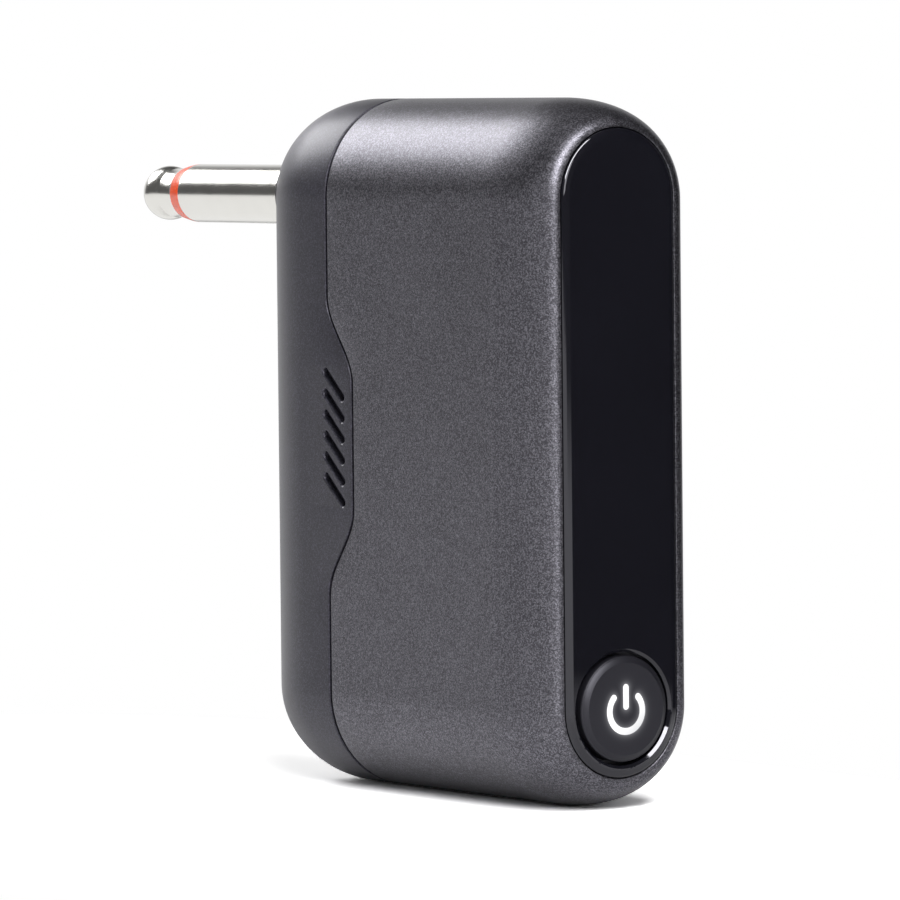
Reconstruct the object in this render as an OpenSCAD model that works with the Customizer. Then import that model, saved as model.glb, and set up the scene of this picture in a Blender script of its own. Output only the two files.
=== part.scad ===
// Wireless guitar transmitter: an upright pocket-sized case with a quarter-inch plug out of its rear.
// The origin is on the plug's axis, at the collar face that seats on the instrument's jack.
// +Y leaves the case along the plug, +Z is up, and the front panel faces -Y.

/* [Case] */
// Width of the case, which is also the diameter of its half-round ends
body_w = 20.8; // [18.6:0.1:23]
// Height of the case
body_h = 72.1; // [64:0.1:80]
// Depth of the front housing, from its front plane to the seam
housing_depth = 36.9; // [33:0.1:41]
// Depth of the rear cover, from the seam to its rear face
cover_depth = 15.6; // [15:0.1:18]
// Wall of the housing's sides
housing_wall = 1.4; // [1.2:0.1:1.6]
// Wall of the housing behind the panel
front_wall = 1.5; // [1.2:0.1:1.6]
// Wall of the rear cover's sides
cover_wall = 1.8; // [1.6:0.1:2]
// Wall of the rear cover's rear face
cover_rear_wall = 3; // [2.8:0.1:3.4]
// How far the housing's front edge rounding runs back
front_edge_run = 8.9; // [6:0.1:10]
// How far the housing's front edge rounding comes in
front_edge_in = 3.1; // [2.8:0.1:3.2]
// How far the rear cover's rounding runs forward
rear_edge_run = 11.2; // [8:0.1:12]
// How far the rear cover's rounding comes in
rear_edge_in = 8; // [6:0.1:8.5]
// Open seam between housing and rear cover
seam_gap = 0.2; // [0.1:0.05:0.3]

/* [Rear cover details] */
// How far the finger pad reaches forward of the seam
pad_reach = 4.45; // [4:0.05:5]
// Height of the finger pad's straight front edge
pad_edge_h = 13; // [12:0.1:16]
// Height of each curved shoulder of the finger pad
pad_shoulder_h = 9.2; // [8:0.1:10]
// Number of slanted grooves on each finger pad
groove_count = 6; // [3:1:6]
// Spacing of the grooves up the pad
groove_pitch = 2.19; // [2:0.01:2.3]
// Width of a groove
groove_w = 0.85; // [0.5:0.05:0.9]
// Depth of a groove
groove_depth = 0.7; // [0.5:0.1:1]
// Length of a groove along the depth of the case, end to end
groove_run = 3.75; // [2.6:0.05:3.9]
// How far the grooves reach behind the seam
groove_back = 0.6; // [0:0.1:0.8]
// Rise of a groove, end to end
groove_rise = 3.4; // [3:0.1:3.6]
// Rise of the row of grooves over the middle of the pad
groove_lift = 0.95; // [0:0.05:1.2]
// Length of the lip that slides into the housing
lip_len = 7.4; // [7.2:0.1:8.2]
// Wall of the lip
lip_wall = 1; // [0.8:0.1:1.2]
// Clearance between the lip and the housing
lip_clear = 0.1; // [0.05:0.05:0.2]
// Width of the seal on the lip
seal_w = 1; // [0.8:0.1:1.2]
// Depth of the seal's groove in the lip
seal_sink = 0.5; // [0.3:0.1:0.5]

/* [Front panel] */
// Width of the panel
panel_w = 14; // [13.6:0.1:14.4]
// Margin from the lower end of the case to the end of the panel
panel_end_margin = 3.4; // [3.3:0.05:3.6]
// Margin from the upper end of the case to the end of the panel
panel_top_margin = 3.1; // [3:0.05:3.4]
// Thickness of the panel
panel_t = 1.6; // [1.4:0.1:1.8]
// How far the panel stands proud of the housing
panel_proud = 0.3; // [0.2:0.05:0.4]
// Width of the panel's bevelled edge
panel_bevel_in = 0.85; // [0.5:0.05:1]
// Depth of the panel's bevelled edge
panel_bevel_run = 0.35; // [0.2:0.05:0.4]
// Gap round the panel
panel_gap = 0.12; // [0.08:0.02:0.16]
// Thickness of the adhesive sheet behind the panel
adhesive_t = 0.2; // [0.1:0.05:0.3]
// Margin from the panel's edge to the adhesive's edge
adhesive_margin = 0.3; // [0.2:0.05:0.4]

/* [Power button] */
// Radius of the button's cap
button_r = 5.4; // [5:0.05:5.5]
// How far the cap stands proud of the panel
button_proud = 0.45; // [0.4:0.05:0.7]
// Rounding of the cap's edge
button_edge_r = 0.9; // [0.6:0.1:1]
// Gap between the cap and the panel's hole
button_gap = 0.38; // [0.3:0.02:0.4]
// Width of the chamfer round the button's hole
button_hole_chamfer = 0.3; // [0.2:0.05:0.3]
// Depth of the chamfer round the button's hole
button_hole_chamfer_t = 0.14; // [0.1:0.02:0.3]
// Radius of the flange that keeps the button in
button_flange_r = 6.15; // [6.1:0.05:6.2]
// Thickness of that flange
button_flange_t = 0.8; // [0.6:0.1:0.9]
// Gap round the flange in the housing
button_flange_gap = 0.25; // [0.2:0.05:0.3]
// Slack between the flange and the panel at rest
button_slack = 0.05; // [0.03:0.01:0.08]
// Travel of the button
button_travel = 0.35; // [0.25:0.05:0.4]
// Radius of the post that presses the switch
button_post_r = 1.1; // [0.9:0.1:1.3]
// Outer radius of the power symbol's ring
icon_r = 2.4; // [2.2:0.05:2.6]
// Stroke of the power symbol
icon_stroke = 0.68; // [0.6:0.02:0.8]
// Height of the power symbol's bar
icon_bar_h = 2.6; // [2.2:0.1:2.8]
// Opening of the power symbol's ring, in degrees
icon_opening = 78; // [60:2:90]
// Drop from the button's axis to the middle of the power symbol's ring
icon_drop = 0.2; // [0:0.1:0.5]
// Depth of the light guide in the cap
icon_t = 0.8; // [0.6:0.1:1]
// Clearance round the light guide
icon_fit = 0.02; // [0.01:0.01:0.04]

/* [Plug] */
// Rise of the plug's axis over the middle of the case's upper end
plug_rise = 0.2; // [0:0.05:0.4]
// Radius of the plug's sleeve
plug_r = 3.175; // [3.15:0.005:3.2]
// Length of the plug from the collar face to the tip
plug_len = 30.8; // [30.4:0.1:31.6]
// Length of the sleeve outside the collar
sleeve_len = 21.7; // [20.5:0.1:22]
// Bore of the sleeve
sleeve_bore_r = 2.2; // [2.1:0.05:2.3]
// Length of the tapered insulator
insulator_len = 1.9; // [1.5:0.1:2.2]
// Small end of the insulator
insulator_end_r = 2.9; // [2.8:0.05:3]
// Radius of the ball
ball_r = 2.97; // [2.9:0.01:3.05]
// Radius of the neck behind the ball
neck_r = 2.65; // [2.45:0.05:2.7]
// Length of the taper from the insulator down to the neck
neck_taper = 1.4; // [1:0.1:1.8]
// Step down from the insulator to the tip's metal
neck_step = 0.05; // [0:0.01:0.1]
// Radius of the rod through the plug
rod_r = 1.4; // [1.2:0.05:1.5]
// Radial clearance of the liner tube
liner_clear = 0.05; // [0.02:0.01:0.1]
// Radius of the threaded shank
shank_r = 4.4; // [4.2:0.05:4.5]
// Length of the shank behind the collar face
shank_len = 9.2; // [9:0.1:10]
// Clearance of the shank in the cover, collar, washer, lug and nut
shank_clear = 0.05; // [0.03:0.01:0.1]
// Radius of the collar
collar_r = 5.2; // [5:0.05:5.6]
// Thickness of the collar
collar_t = 2.6; // [2.4:0.1:2.8]
// How far the collar face stands behind the rear cover
collar_proud = 1.4; // [1.2:0.1:1.6]
// Gap round the collar in its seat
collar_gap = 0.1; // [0.05:0.05:0.15]
// Rounding of the collar's outer edge
collar_edge_r = 0.4; // [0.2:0.1:0.5]
// Thickness of the lock washer
washer_t = 0.5; // [0.4:0.1:0.7]
// Thickness of the solder lugs
lug_t = 0.4; // [0.3:0.1:0.5]
// Width of a solder lug's tail
lug_w = 2; // [1.6:0.1:2.4]
// Width of the nut across its flats
nut_flats = 11; // [10.8:0.1:11.4]
// Thickness of the nut
nut_t = 2.4; // [2.2:0.1:2.6]
// Thickness of the insulating bush
bush_t = 1.2; // [1:0.1:1.4]
// Length of the riveted rod end
rivet_len = 1.2; // [1:0.1:1.5]

/* [Electronics] */
// Thickness of the circuit boards
board_t = 1; // [0.8:0.1:1.2]
// Gap between the chassis's front plate and the main board's front edge
board_front_gap = 3.6; // [3:0.1:4.2]
// How far the main board runs below the button's axis
board_tail = 3.7; // [2.7:0.1:4.2]
// Gap between the main board and the rear wall of the cover
board_rear_gap = 2; // [1.8:0.1:2.4]
// Drop from the plug's axis to the main board's top edge
board_drop = 12; // [11.6:0.1:12.4]
// Width of the charging socket's shell
socket_w = 8.94; // [8.9:0.02:9]
// Height of the charging socket's shell
socket_h = 3.26; // [3.2:0.02:3.3]
// Length of the charging socket
socket_len = 7.4; // [7.3:0.1:7.8]
// Sheet thickness of the charging socket's shell
socket_wall = 0.3; // [0.2:0.05:0.3]
// How far the socket's mouth lies inside the rear face
socket_sink = 0.6; // [0.4:0.1:0.8]
// Clearance round the socket in the cover
socket_clear = 0.15; // [0.1:0.05:0.2]
// Drop from the plug's axis to the middle of the charging socket
socket_drop = 38; // [37:0.5:39]
// Thickness of the battery
battery_t = 4.1; // [3.6:0.1:4.2]
// Depth of the battery, front to rear
battery_depth = 20; // [18:0.5:20.5]
// Height of the battery
battery_h = 34; // [30:0.5:35]
// Thickness of the battery's foam pad
pad_t = 0.4; // [0.3:0.1:0.5]
// Radius of the wires
wire_r = 0.45; // [0.35:0.05:0.5]
// Size of the switch, square
switch_w = 4.5; // [4.2:0.1:5]
// Height of the switch
switch_h = 2; // [1.8:0.1:2.2]
// Radius of the switch's plunger
plunger_r = 1.2; // [1:0.1:1.3]
// How far the plunger stands out of the switch
plunger_out = 0.8; // [0.7:0.05:0.9]
// Clearance round the plunger in the switch
plunger_clear = 0.1; // [0.05:0.05:0.15]
// Thickness of the chassis
chassis_t = 1; // [0.8:0.1:1.2]
// Radius of the screws' shanks
screw_r = 0.8; // [0.7:0.05:0.9]
// Radius of the screws' heads
screw_head_r = 1.5; // [1.4:0.05:1.7]
// Thickness of the screws' heads
screw_head_t = 0.9; // [0.8:0.1:1]
// Radius of the bosses that take the screws
boss_r = 2.2; // [2:0.1:2.3]
// Radial clearance of the screws in their holes
screw_clear = 0.05; // [0.03:0.01:0.1]

/* [Hidden] */

$fn = 64;
// Steps in an elliptical edge rounding
edge_steps = 10;
// Overrun of a cut past the face that it opens
cut = 1;

// Case
body_r = body_w / 2;
span = body_h - body_w;
mid_z = -plug_rise - span / 2;
cover_rear_y = -collar_proud;
seam_y = cover_rear_y - cover_depth;
front_y = seam_y - housing_depth;
cavity_r = body_r - housing_wall;
cover_cavity_r = body_r - cover_wall;
cover_inner_y = cover_rear_y - cover_rear_wall;
lip_r = cavity_r - lip_clear;
lip_bore_r = lip_r - lip_wall;
lip_front_y = seam_y - lip_len;
seal_y = lip_front_y + seal_w;
pad_foot_h = pad_edge_h + 2 * pad_shoulder_h;

// Panel and button
panel_r = panel_w / 2;
icon_ring_steps = 60;
icon_end_steps = 10;
icon_end_step = 180 / (icon_end_steps + 2);
panel_h = body_h - panel_end_margin - panel_top_margin;
panel_span = panel_h - panel_w;
panel_mid_z = mid_z + (panel_end_margin - panel_top_margin) / 2;
panel_face_y = front_y - panel_proud;
panel_back_y = panel_face_y + panel_t;
recess_y = panel_back_y + adhesive_t;
front_inner_y = recess_y + front_wall;
button_z = panel_mid_z - panel_span / 2;
button_face_y = panel_face_y - button_proud;
button_hole_r = button_r + button_gap;
flange_hole_r = button_flange_r + button_flange_gap;
flange_front_y = panel_back_y + button_slack;
flange_back_y = flange_front_y + button_flange_t;

// Plug, from the collar face inwards
collar_back_y = -collar_t;
washer_y = cover_inner_y - washer_t;
sleeve_lug_y = washer_y - lug_t;
nut_y = sleeve_lug_y - nut_t;
shank_end_y = -shank_len;
bush_y = shank_end_y - bush_t;
tip_lug_y = bush_y - lug_t;
rod_end_y = tip_lug_y - rivet_len;
liner_r = sleeve_bore_r - liner_clear;
liner_bore_r = rod_r + liner_clear;
shank_bore_r = shank_r + shank_clear;
neck_y = sleeve_len + insulator_len;
ball_y = plug_len - ball_r;
nut_r = nut_flats / 2 / cos(30);
nut_room = 0.4;
washer_r = nut_flats / 2;
tip_lug_rim = 1.4;
tip_lug_r = rod_r + tip_lug_rim;
rivet_rim = 0.5;
rivet_r = rod_r + rivet_rim;
lug_tail = 3;
wire_step = 2.4;

// Chassis and main board: the board stands beside the mid plane, so that the socket is central
board_x = socket_h / 2;
board_outer_x = board_x + board_t;
board_rear_y = cover_inner_y - board_rear_gap;
board_top_z = -board_drop;
board_bottom_z = button_z - board_tail;
chassis_gap = 0.5;
chassis_x = -socket_h / 2 - chassis_gap;
chassis_outer_x = chassis_x - chassis_t;
button_post_len = 1.3;
plunger_y = flange_back_y + button_post_len + button_slack;
button_board_y = plunger_y + plunger_out + switch_h;
flange_plate_y = button_board_y + board_t;
board_front_y = flange_plate_y + board_front_gap;
chassis_top_z = board_top_z + boss_r;
chassis_bottom_z = button_z - button_r;
ear_t = 1.2;
ear_setback = 2;
ear_y = seam_y + ear_setback;
ear_x = chassis_outer_x - boss_r;
cover_boss_z = [chassis_top_z - boss_r * 2, button_z + boss_r];
block_gap = 0.5;
block_back_y = board_front_y - block_gap;
board_inset = 3;
board_post_y = [board_front_y + board_inset, seam_y];
board_post_z = [board_top_z - board_inset, board_bottom_z + board_inset];
screw_bite = 4;
button_board_r = 7;
flange_rise = 5.6;
button_board_lift = 2.4;
button_board_rise = flange_rise + button_board_lift;
button_board_top_z = button_z + button_board_rise + button_board_r;
case_screw_gap = 1.85;
case_screw_z = [board_top_z - boss_r, button_board_top_z + case_screw_gap + boss_r];
button_screw_x = 4.6;
button_screw_z = button_z + button_board_r;
battery_x = chassis_outer_x - pad_t;
battery_gap = 0.6;
battery_front_y = flange_plate_y + ear_t + battery_gap;
battery_rear_y = battery_front_y + battery_depth;
battery_drop = 6;
battery_mid_z = mid_z - battery_drop;
battery_top_z = battery_mid_z + battery_h / 2;
battery_plug_size = [2.8, 4.6, 3.6];
battery_plug_setback = 8;
battery_plug_y = board_front_y + battery_plug_setback;
board_pad_drop = 2;
battery_plug_z = board_top_z - board_pad_drop;
battery_wire_pitch = 1.6;
wire_over_gap = 0.5;
wire_over_z = chassis_top_z + wire_r + wire_over_gap;
wire_pad_z = board_top_z - board_pad_drop;

// Chips: height, depth, width
shield_size = [2.4, 14, 16];
shield_wall = 0.2;
shield_setback = 9;
shield_y = board_front_y + shield_setback;
shield_drop = 4;
shield_z = mid_z - shield_drop;
radio_chip_size = [0.9, 5, 5];
audio_chip_size = [1, 6, 6];
audio_chip_setback = 24;
audio_chip_y = board_front_y + audio_chip_setback;
audio_chip_gap = 1.45;
audio_chip_z = board_post_z[0] - boss_r - audio_chip_gap - audio_chip_size[2] / 2;
charger_chip_size = [0.9, 3, 3];
charger_chip_setback = 22;
charger_chip_y = board_front_y + charger_chip_setback;
charger_chip_gap = 1.3;
charger_chip_z = board_post_z[1] + boss_r + charger_chip_gap + charger_chip_size[2] / 2;
capacitor_r = 2;
capacitor_gap = 0.67;
capacitor_h = lip_bore_r - board_outer_x - capacitor_gap;
capacitor_count = 3;
capacitor_pitch = 5;
capacitor_setback = 20;
capacitor_y = board_front_y + capacitor_setback;
antenna_t = 0.3;
antenna_reach = 3.6;
antenna_len = 18;
antenna_w = 2;
antenna_setback = 6;
antenna_y = board_front_y + antenna_setback;
antenna_drop = 4;
antenna_z = board_top_z - antenna_drop;
antenna_gap = 2.65;
capacitor_top_z = antenna_z - antenna_gap - capacitor_r;
tongue_t = 0.7;
tongue_w = 6.7;
led_size = [1.6, 0.7, 0.8];
led_gap = 1.4;
led_x = switch_w / 2 + led_gap;
flex_t = 0.2;
flex_w = 1.8;
flex_len = 5;

// Points of a quarter ellipse from [x0, y0] to [x1, y1], leaving along Y when rise is true
function quarter(x0, y0, x1, y1, rise) =
    [for (i = [1 : edge_steps - 1])
        let (a = 90 * i / edge_steps)
        rise ? [x0 + (x1 - x0) * (1 - cos(a)), y0 + (y1 - y0) * sin(a)]
             : [x0 + (x1 - x0) * sin(a), y0 + (y1 - y0) * (1 - cos(a))]];

// Half outline of a case-shaped solid, radius against depth: an end with no inset stays square
function half_outline(r, y0, y1, run0, in0, run1, in1) = concat(
    in0 > 0
        ? concat([[r - in0, y0]], quarter(r - in0, y0, r, y0 + run0, false), [[r, y0 + run0]])
        : [[r, y0]],
    in1 > 0
        ? concat([[r, y1 - run1]], quarter(r, y1 - run1, r - in1, y1, true), [[r - in1, y1]])
        : [[r, y1]]);

// Outline with its mirror image
function both_sides(points) =
    concat(points, [for (i = [len(points) - 1 : -1 : 0]) [-points[i][0], points[i][1]]]);

// Upright solid with flat sides and half-round ends, from depth y0 to y1
module case_solid(r, length, z, y0, y1, run0 = 0, in0 = 0, run1 = 0, in1 = 0) {
    outline = half_outline(r, y0, y1, run0, in0, run1, in1);
    translate([0, 0, z - length / 2])
        linear_extrude(height = length)
            polygon(both_sides(outline));
    for (upper = [0, 1])
        translate([0, 0, z + (upper - 0.5) * length])
            rotate([-90, 180 * upper, 0])
                rotate_extrude(angle = 180)
                    polygon(concat([[0, y0]], outline, [[0, y1]]));
}

// Plain upright prism with half-round ends
module stadium_prism(r, length, z, y0, y1) {
    translate([0, y1, z])
        rotate([90, 0, 0])
            linear_extrude(height = y1 - y0) {
                square([2 * r, length], center = true);
                for (side = [-1, 1])
                    translate([0, side * length / 2])
                        circle(r);
            }
}

// Cylinder along Y between two depths
module rod_y(r, y0, y1) {
    translate([0, y0, 0])
        rotate([-90, 0, 0])
            cylinder(r = r, h = y1 - y0);
}

// Ring along Y between two depths
module ring_y(r, bore, y0, y1) {
    difference() {
        rod_y(r, y0, y1);
        rod_y(bore, y0 - cut, y1 + cut);
    }
}

// Box from one corner to the opposite one
module box(low, high) {
    translate(low)
        cube(high - low);
}

// Wire along straight runs with round joints
module wire(points) {
    for (i = [0 : len(points) - 2]) {
        run = points[i + 1] - points[i];
        translate(points[i])
            rotate([0, acos(run[2] / norm(run)), atan2(run[1], run[0])])
                cylinder(r = wire_r, h = norm(run), $fn = 24);
        if (i > 0)
            translate(points[i])
                sphere(r = wire_r, $fn = 24);
    }
}

// Pan-head screw along Y: the head's underside at depth y, the shank running to larger depths
module screw_y(shank) {
    rod_y(screw_r, 0, shank);
    rod_y(screw_head_r, -screw_head_t, 0);
}

// Hole for that screw
module screw_hole_y(depth) {
    rod_y(screw_r + screw_clear, -cut, depth);
}

// Finger pad's side view outline, grown by a margin
module pad_outline(margin) {
    edge = pad_edge_h / 2 + margin;
    foot = pad_foot_h / 2 + margin;
    reach = pad_reach + margin;
    shoulder = [for (i = [0 : 2 * edge_steps])
        let (t = i / (2 * edge_steps))
        [reach * (1 - cos(180 * t)) / 2, foot - (foot - edge) * t]];
    polygon(concat([[-cut, foot]], shoulder,
        [for (i = [2 * edge_steps : -1 : 0]) [shoulder[i][0], -shoulder[i][1]]],
        [[-cut, -foot]]));
}

// Finger pad as a prism right across the case, ahead of the seam
module pad_prism(margin, half_w) {
    translate([0, seam_y, mid_z])
        rotate([90, 0, -90])
            linear_extrude(height = 2 * half_w, center = true)
                pad_outline(margin);
}

// One slanted groove on the side face, centred on the origin
module groove() {
    tilt = atan2(groove_rise - groove_w, groove_run - groove_w);
    reach = norm([groove_rise - groove_w, groove_run - groove_w]);
    rotate([tilt, 0, 0]) {
        cube([2 * groove_depth, reach, groove_w], center = true);
        for (end = [-1, 1])
            translate([0, end * reach / 2, 0])
                rotate([0, 90, 0])
                    cylinder(d = groove_w, h = 2 * groove_depth, center = true, $fn = 24);
    }
}

// Points on a circle, at angles from the vertical
function dial(centre, r, from, to, steps) =
    [for (i = [0 : steps])
        let (a = from + (to - from) * i / steps)
        centre + r * [sin(a), cos(a)]];

// Outline of the power symbol with round stroke ends, in width and height
module icon_outline(margin) {
    half = icon_stroke / 2 + margin;
    ring_r = icon_r - icon_stroke / 2;
    start = icon_opening / 2 + icon_stroke / 2 / ring_r * 180 / PI;
    end = 360 - start;
    start_middle = ring_r * [sin(start), cos(start)];
    end_middle = ring_r * [sin(end), cos(end)];
    turn = 180 - icon_end_step;
    bar_foot = icon_r + icon_stroke - icon_bar_h;
    polygon(concat(
        dial([0, 0], ring_r + half, start, end, icon_ring_steps),
        dial(end_middle, half, end + icon_end_step, end + turn, icon_end_steps),
        dial([0, 0], ring_r - half, end, start, icon_ring_steps),
        dial(start_middle, half, start + 180 + icon_end_step, start + 180 + turn, icon_end_steps)));
    polygon(concat(
        dial([0, icon_r], half, -90, 90, icon_end_steps),
        dial([0, bar_foot], half, 90, 270, icon_end_steps)));
}

// Power symbol as a prism behind the button's face
module icon_prism(margin, depth) {
    translate([0, button_face_y + depth, button_z - icon_drop])
        rotate([90, 0, 0])
            linear_extrude(height = depth + (margin > 0 ? cut : 0))
                icon_outline(margin);
}

module housing() {
    color([0.33, 0.33, 0.35])
    difference() {
        case_solid(body_r, span, mid_z, front_y, seam_y - seam_gap,
            run0 = front_edge_run, in0 = front_edge_in);
        case_solid(cavity_r, span, mid_z, front_inner_y, seam_y + cut,
            run0 = front_edge_run - (front_inner_y - front_y), in0 = front_edge_in / 2);
        stadium_prism(panel_r + panel_gap, panel_span, panel_mid_z, front_y - cut, recess_y);
        translate([0, 0, button_z])
            rod_y(flange_hole_r, recess_y - cut, front_inner_y + cut);
        for (z = case_screw_z)
            translate([0, recess_y + screw_head_t, z]) {
                screw_hole_y(front_wall + cut);
                rod_y(screw_head_r + screw_clear, -screw_head_t - cut, 0);
            }
        pad_prism(seam_gap, body_r + cut);
    }
}

module rear_cover() {
    color([0.27, 0.28, 0.3])
    difference() {
        union() {
            difference() {
                case_solid(body_r, span, mid_z, seam_y, cover_rear_y,
                    run1 = rear_edge_run, in1 = rear_edge_in);
                case_solid(cover_cavity_r, span, mid_z, seam_y - cut, cover_inner_y,
                    run1 = rear_edge_run - cover_rear_wall, in1 = rear_edge_in - cover_wall / 2);
            }
            stadium_prism(lip_r, span, mid_z, lip_front_y, seam_y + cover_wall);
            intersection() {
                stadium_prism(body_r, span, mid_z, seam_y - pad_reach - cut, seam_y + cover_wall);
                pad_prism(0, body_r);
            }
            intersection() {
                case_solid(body_r, span, mid_z, seam_y, cover_rear_y,
                    run1 = rear_edge_run, in1 = rear_edge_in);
                for (z = cover_boss_z)
                    translate([ear_x, 0, z])
                        rod_y(boss_r, ear_y + ear_t, cover_inner_y);
            }
        }
        stadium_prism(lip_bore_r, span, mid_z, lip_front_y - cut, ear_y);
        difference() {
            stadium_prism(lip_r + cut, span, mid_z, seal_y, seal_y + seal_w);
            stadium_prism(lip_r - seal_sink, span, mid_z, seal_y - cut, seal_y + seal_w + cut);
        }
        rod_y(shank_bore_r, cover_inner_y - cut, cut);
        rod_y(collar_r + collar_gap, collar_back_y, cut);
        rod_y(nut_r + nut_room, nut_y - cut, cover_inner_y);
        translate([0, 0, -socket_drop])
            stadium_prism(socket_h / 2 + socket_clear, socket_w - socket_h, 0, cover_inner_y - cut, cut);
        for (z = cover_boss_z)
            translate([ear_x, ear_y + ear_t, z])
                screw_hole_y(screw_bite);
        for (side = [-1, 1])
            for (i = [0 : groove_count - 1])
                translate([side * body_r, seam_y + groove_back - groove_run / 2,
                    mid_z + groove_lift + (i - (groove_count - 1) / 2) * groove_pitch])
                    groove();
    }
}

module front_panel() {
    color([0.06, 0.06, 0.07])
    difference() {
        case_solid(panel_r, panel_span, panel_mid_z, panel_face_y, panel_back_y,
            run0 = panel_bevel_run, in0 = panel_bevel_in);
        translate([0, 0, button_z]) {
            rod_y(button_hole_r, panel_face_y - cut, panel_back_y + cut);
            translate([0, panel_face_y, 0])
                rotate([-90, 0, 0])
                    cylinder(r1 = button_hole_r + button_hole_chamfer, r2 = button_hole_r,
                        h = button_hole_chamfer_t);
        }
    }
}

module panel_adhesive() {
    color([0.2, 0.2, 0.2])
    difference() {
        stadium_prism(panel_r - adhesive_margin, panel_span, panel_mid_z, panel_back_y, recess_y);
        translate([0, 0, button_z])
            rod_y(flange_hole_r, panel_back_y - cut, recess_y + cut);
    }
}

module power_button() {
    color([0.1, 0.1, 0.11])
    difference() {
        translate([0, 0, button_z])
            rotate([-90, 0, 0])
                rotate_extrude()
                    polygon(concat(
                        [[0, button_face_y], [button_r - button_edge_r, button_face_y]],
                        quarter(button_r - button_edge_r, button_face_y, button_r,
                            button_face_y + button_edge_r, false),
                        [[button_r, button_face_y + button_edge_r], [button_r, flange_front_y],
                         [button_flange_r, flange_front_y], [button_flange_r, flange_back_y],
                         [button_post_r, flange_back_y], [button_post_r, plunger_y - button_slack],
                         [0, plunger_y - button_slack]]));
        icon_prism(icon_fit, icon_t + icon_fit);
    }
}

module power_icon() {
    color([0.95, 0.97, 1])
        icon_prism(0, icon_t);
}

module plug_sleeve() {
    color([0.75, 0.75, 0.77])
    difference() {
        union() {
            rod_y(plug_r, 0, sleeve_len);
            rod_y(shank_r, shank_end_y, 0);
        }
        rod_y(sleeve_bore_r, shank_end_y - cut, sleeve_len + cut);
    }
}

module plug_tip() {
    color([0.75, 0.75, 0.77]) {
        translate([0, ball_y, 0])
            sphere(r = ball_r);
        translate([0, neck_y, 0])
            rotate([-90, 0, 0])
                cylinder(r1 = insulator_end_r - neck_step, r2 = neck_r, h = neck_taper);
        rod_y(neck_r, neck_y, ball_y);
        rod_y(rod_r, tip_lug_y, neck_y);
        rod_y(rivet_r, rod_end_y, tip_lug_y);
    }
}

module plug_insulator() {
    color([0.9, 0.32, 0.12])
    difference() {
        translate([0, sleeve_len, 0])
            rotate([-90, 0, 0])
                cylinder(r1 = plug_r, r2 = insulator_end_r, h = insulator_len);
        rod_y(liner_bore_r, sleeve_len - cut, neck_y + cut);
    }
}

module plug_collar() {
    color([0.3, 0.3, 0.32])
    rotate([-90, 0, 0])
        rotate_extrude()
            polygon(concat([[shank_bore_r, collar_back_y], [collar_r, collar_back_y],
                [collar_r, -collar_edge_r]],
                quarter(collar_r, -collar_edge_r, collar_r - collar_edge_r, 0, true),
                [[collar_r - collar_edge_r, 0], [shank_bore_r, 0]]));
}

module plug_liner() {
    color([0.85, 0.85, 0.8])
        ring_y(liner_r, liner_bore_r, bush_y + bush_t, sleeve_len);
}

module plug_washer() {
    color([0.7, 0.7, 0.72])
        ring_y(washer_r, shank_bore_r, washer_y, cover_inner_y);
}

module sleeve_lug() {
    color([0.8, 0.75, 0.6])
    difference() {
        union() {
            rod_y(washer_r, sleeve_lug_y, washer_y);
            box([-lug_w / 2, sleeve_lug_y, -washer_r - lug_tail], [lug_w / 2, washer_y, 0]);
        }
        rod_y(shank_bore_r, sleeve_lug_y - cut, washer_y + cut);
    }
}

module plug_nut() {
    color([0.7, 0.7, 0.72])
    difference() {
        translate([0, nut_y, 0])
            rotate([-90, 0, 0])
                cylinder(r = nut_r, h = nut_t, $fn = 6);
        rod_y(shank_bore_r, nut_y - cut, sleeve_lug_y + cut);
    }
}

module plug_bush() {
    color([0.85, 0.85, 0.8])
        ring_y(shank_r, liner_bore_r, bush_y, shank_end_y);
}

module tip_lug() {
    color([0.8, 0.75, 0.6])
    difference() {
        union() {
            rod_y(tip_lug_r, tip_lug_y, bush_y);
            box([-lug_w / 2, tip_lug_y, -tip_lug_r - lug_tail], [lug_w / 2, bush_y, 0]);
        }
        rod_y(liner_bore_r, tip_lug_y - cut, bush_y + cut);
    }
}

module signal_wire() {
    x0 = lug_w / 2 - wire_r;
    z0 = -tip_lug_r - lug_tail / 2;
    y1 = seam_y - boss_r - wire_step;
    color([0.9, 0.9, 0.9])
        wire([[x0, tip_lug_y, z0], [x0, y1, z0], [x0, y1, wire_pad_z], [board_x, y1, wire_pad_z]]);
}

module ground_wire() {
    x0 = -lug_w / 2 + wire_r;
    z0 = -washer_r - lug_tail + wire_r * 2;
    y1 = seam_y - boss_r - 2 * wire_step;
    color([0.1, 0.1, 0.1])
        wire([[x0, sleeve_lug_y, z0], [x0, y1, z0], [x0, y1, wire_pad_z], [board_x, y1, wire_pad_z]]);
}

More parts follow.
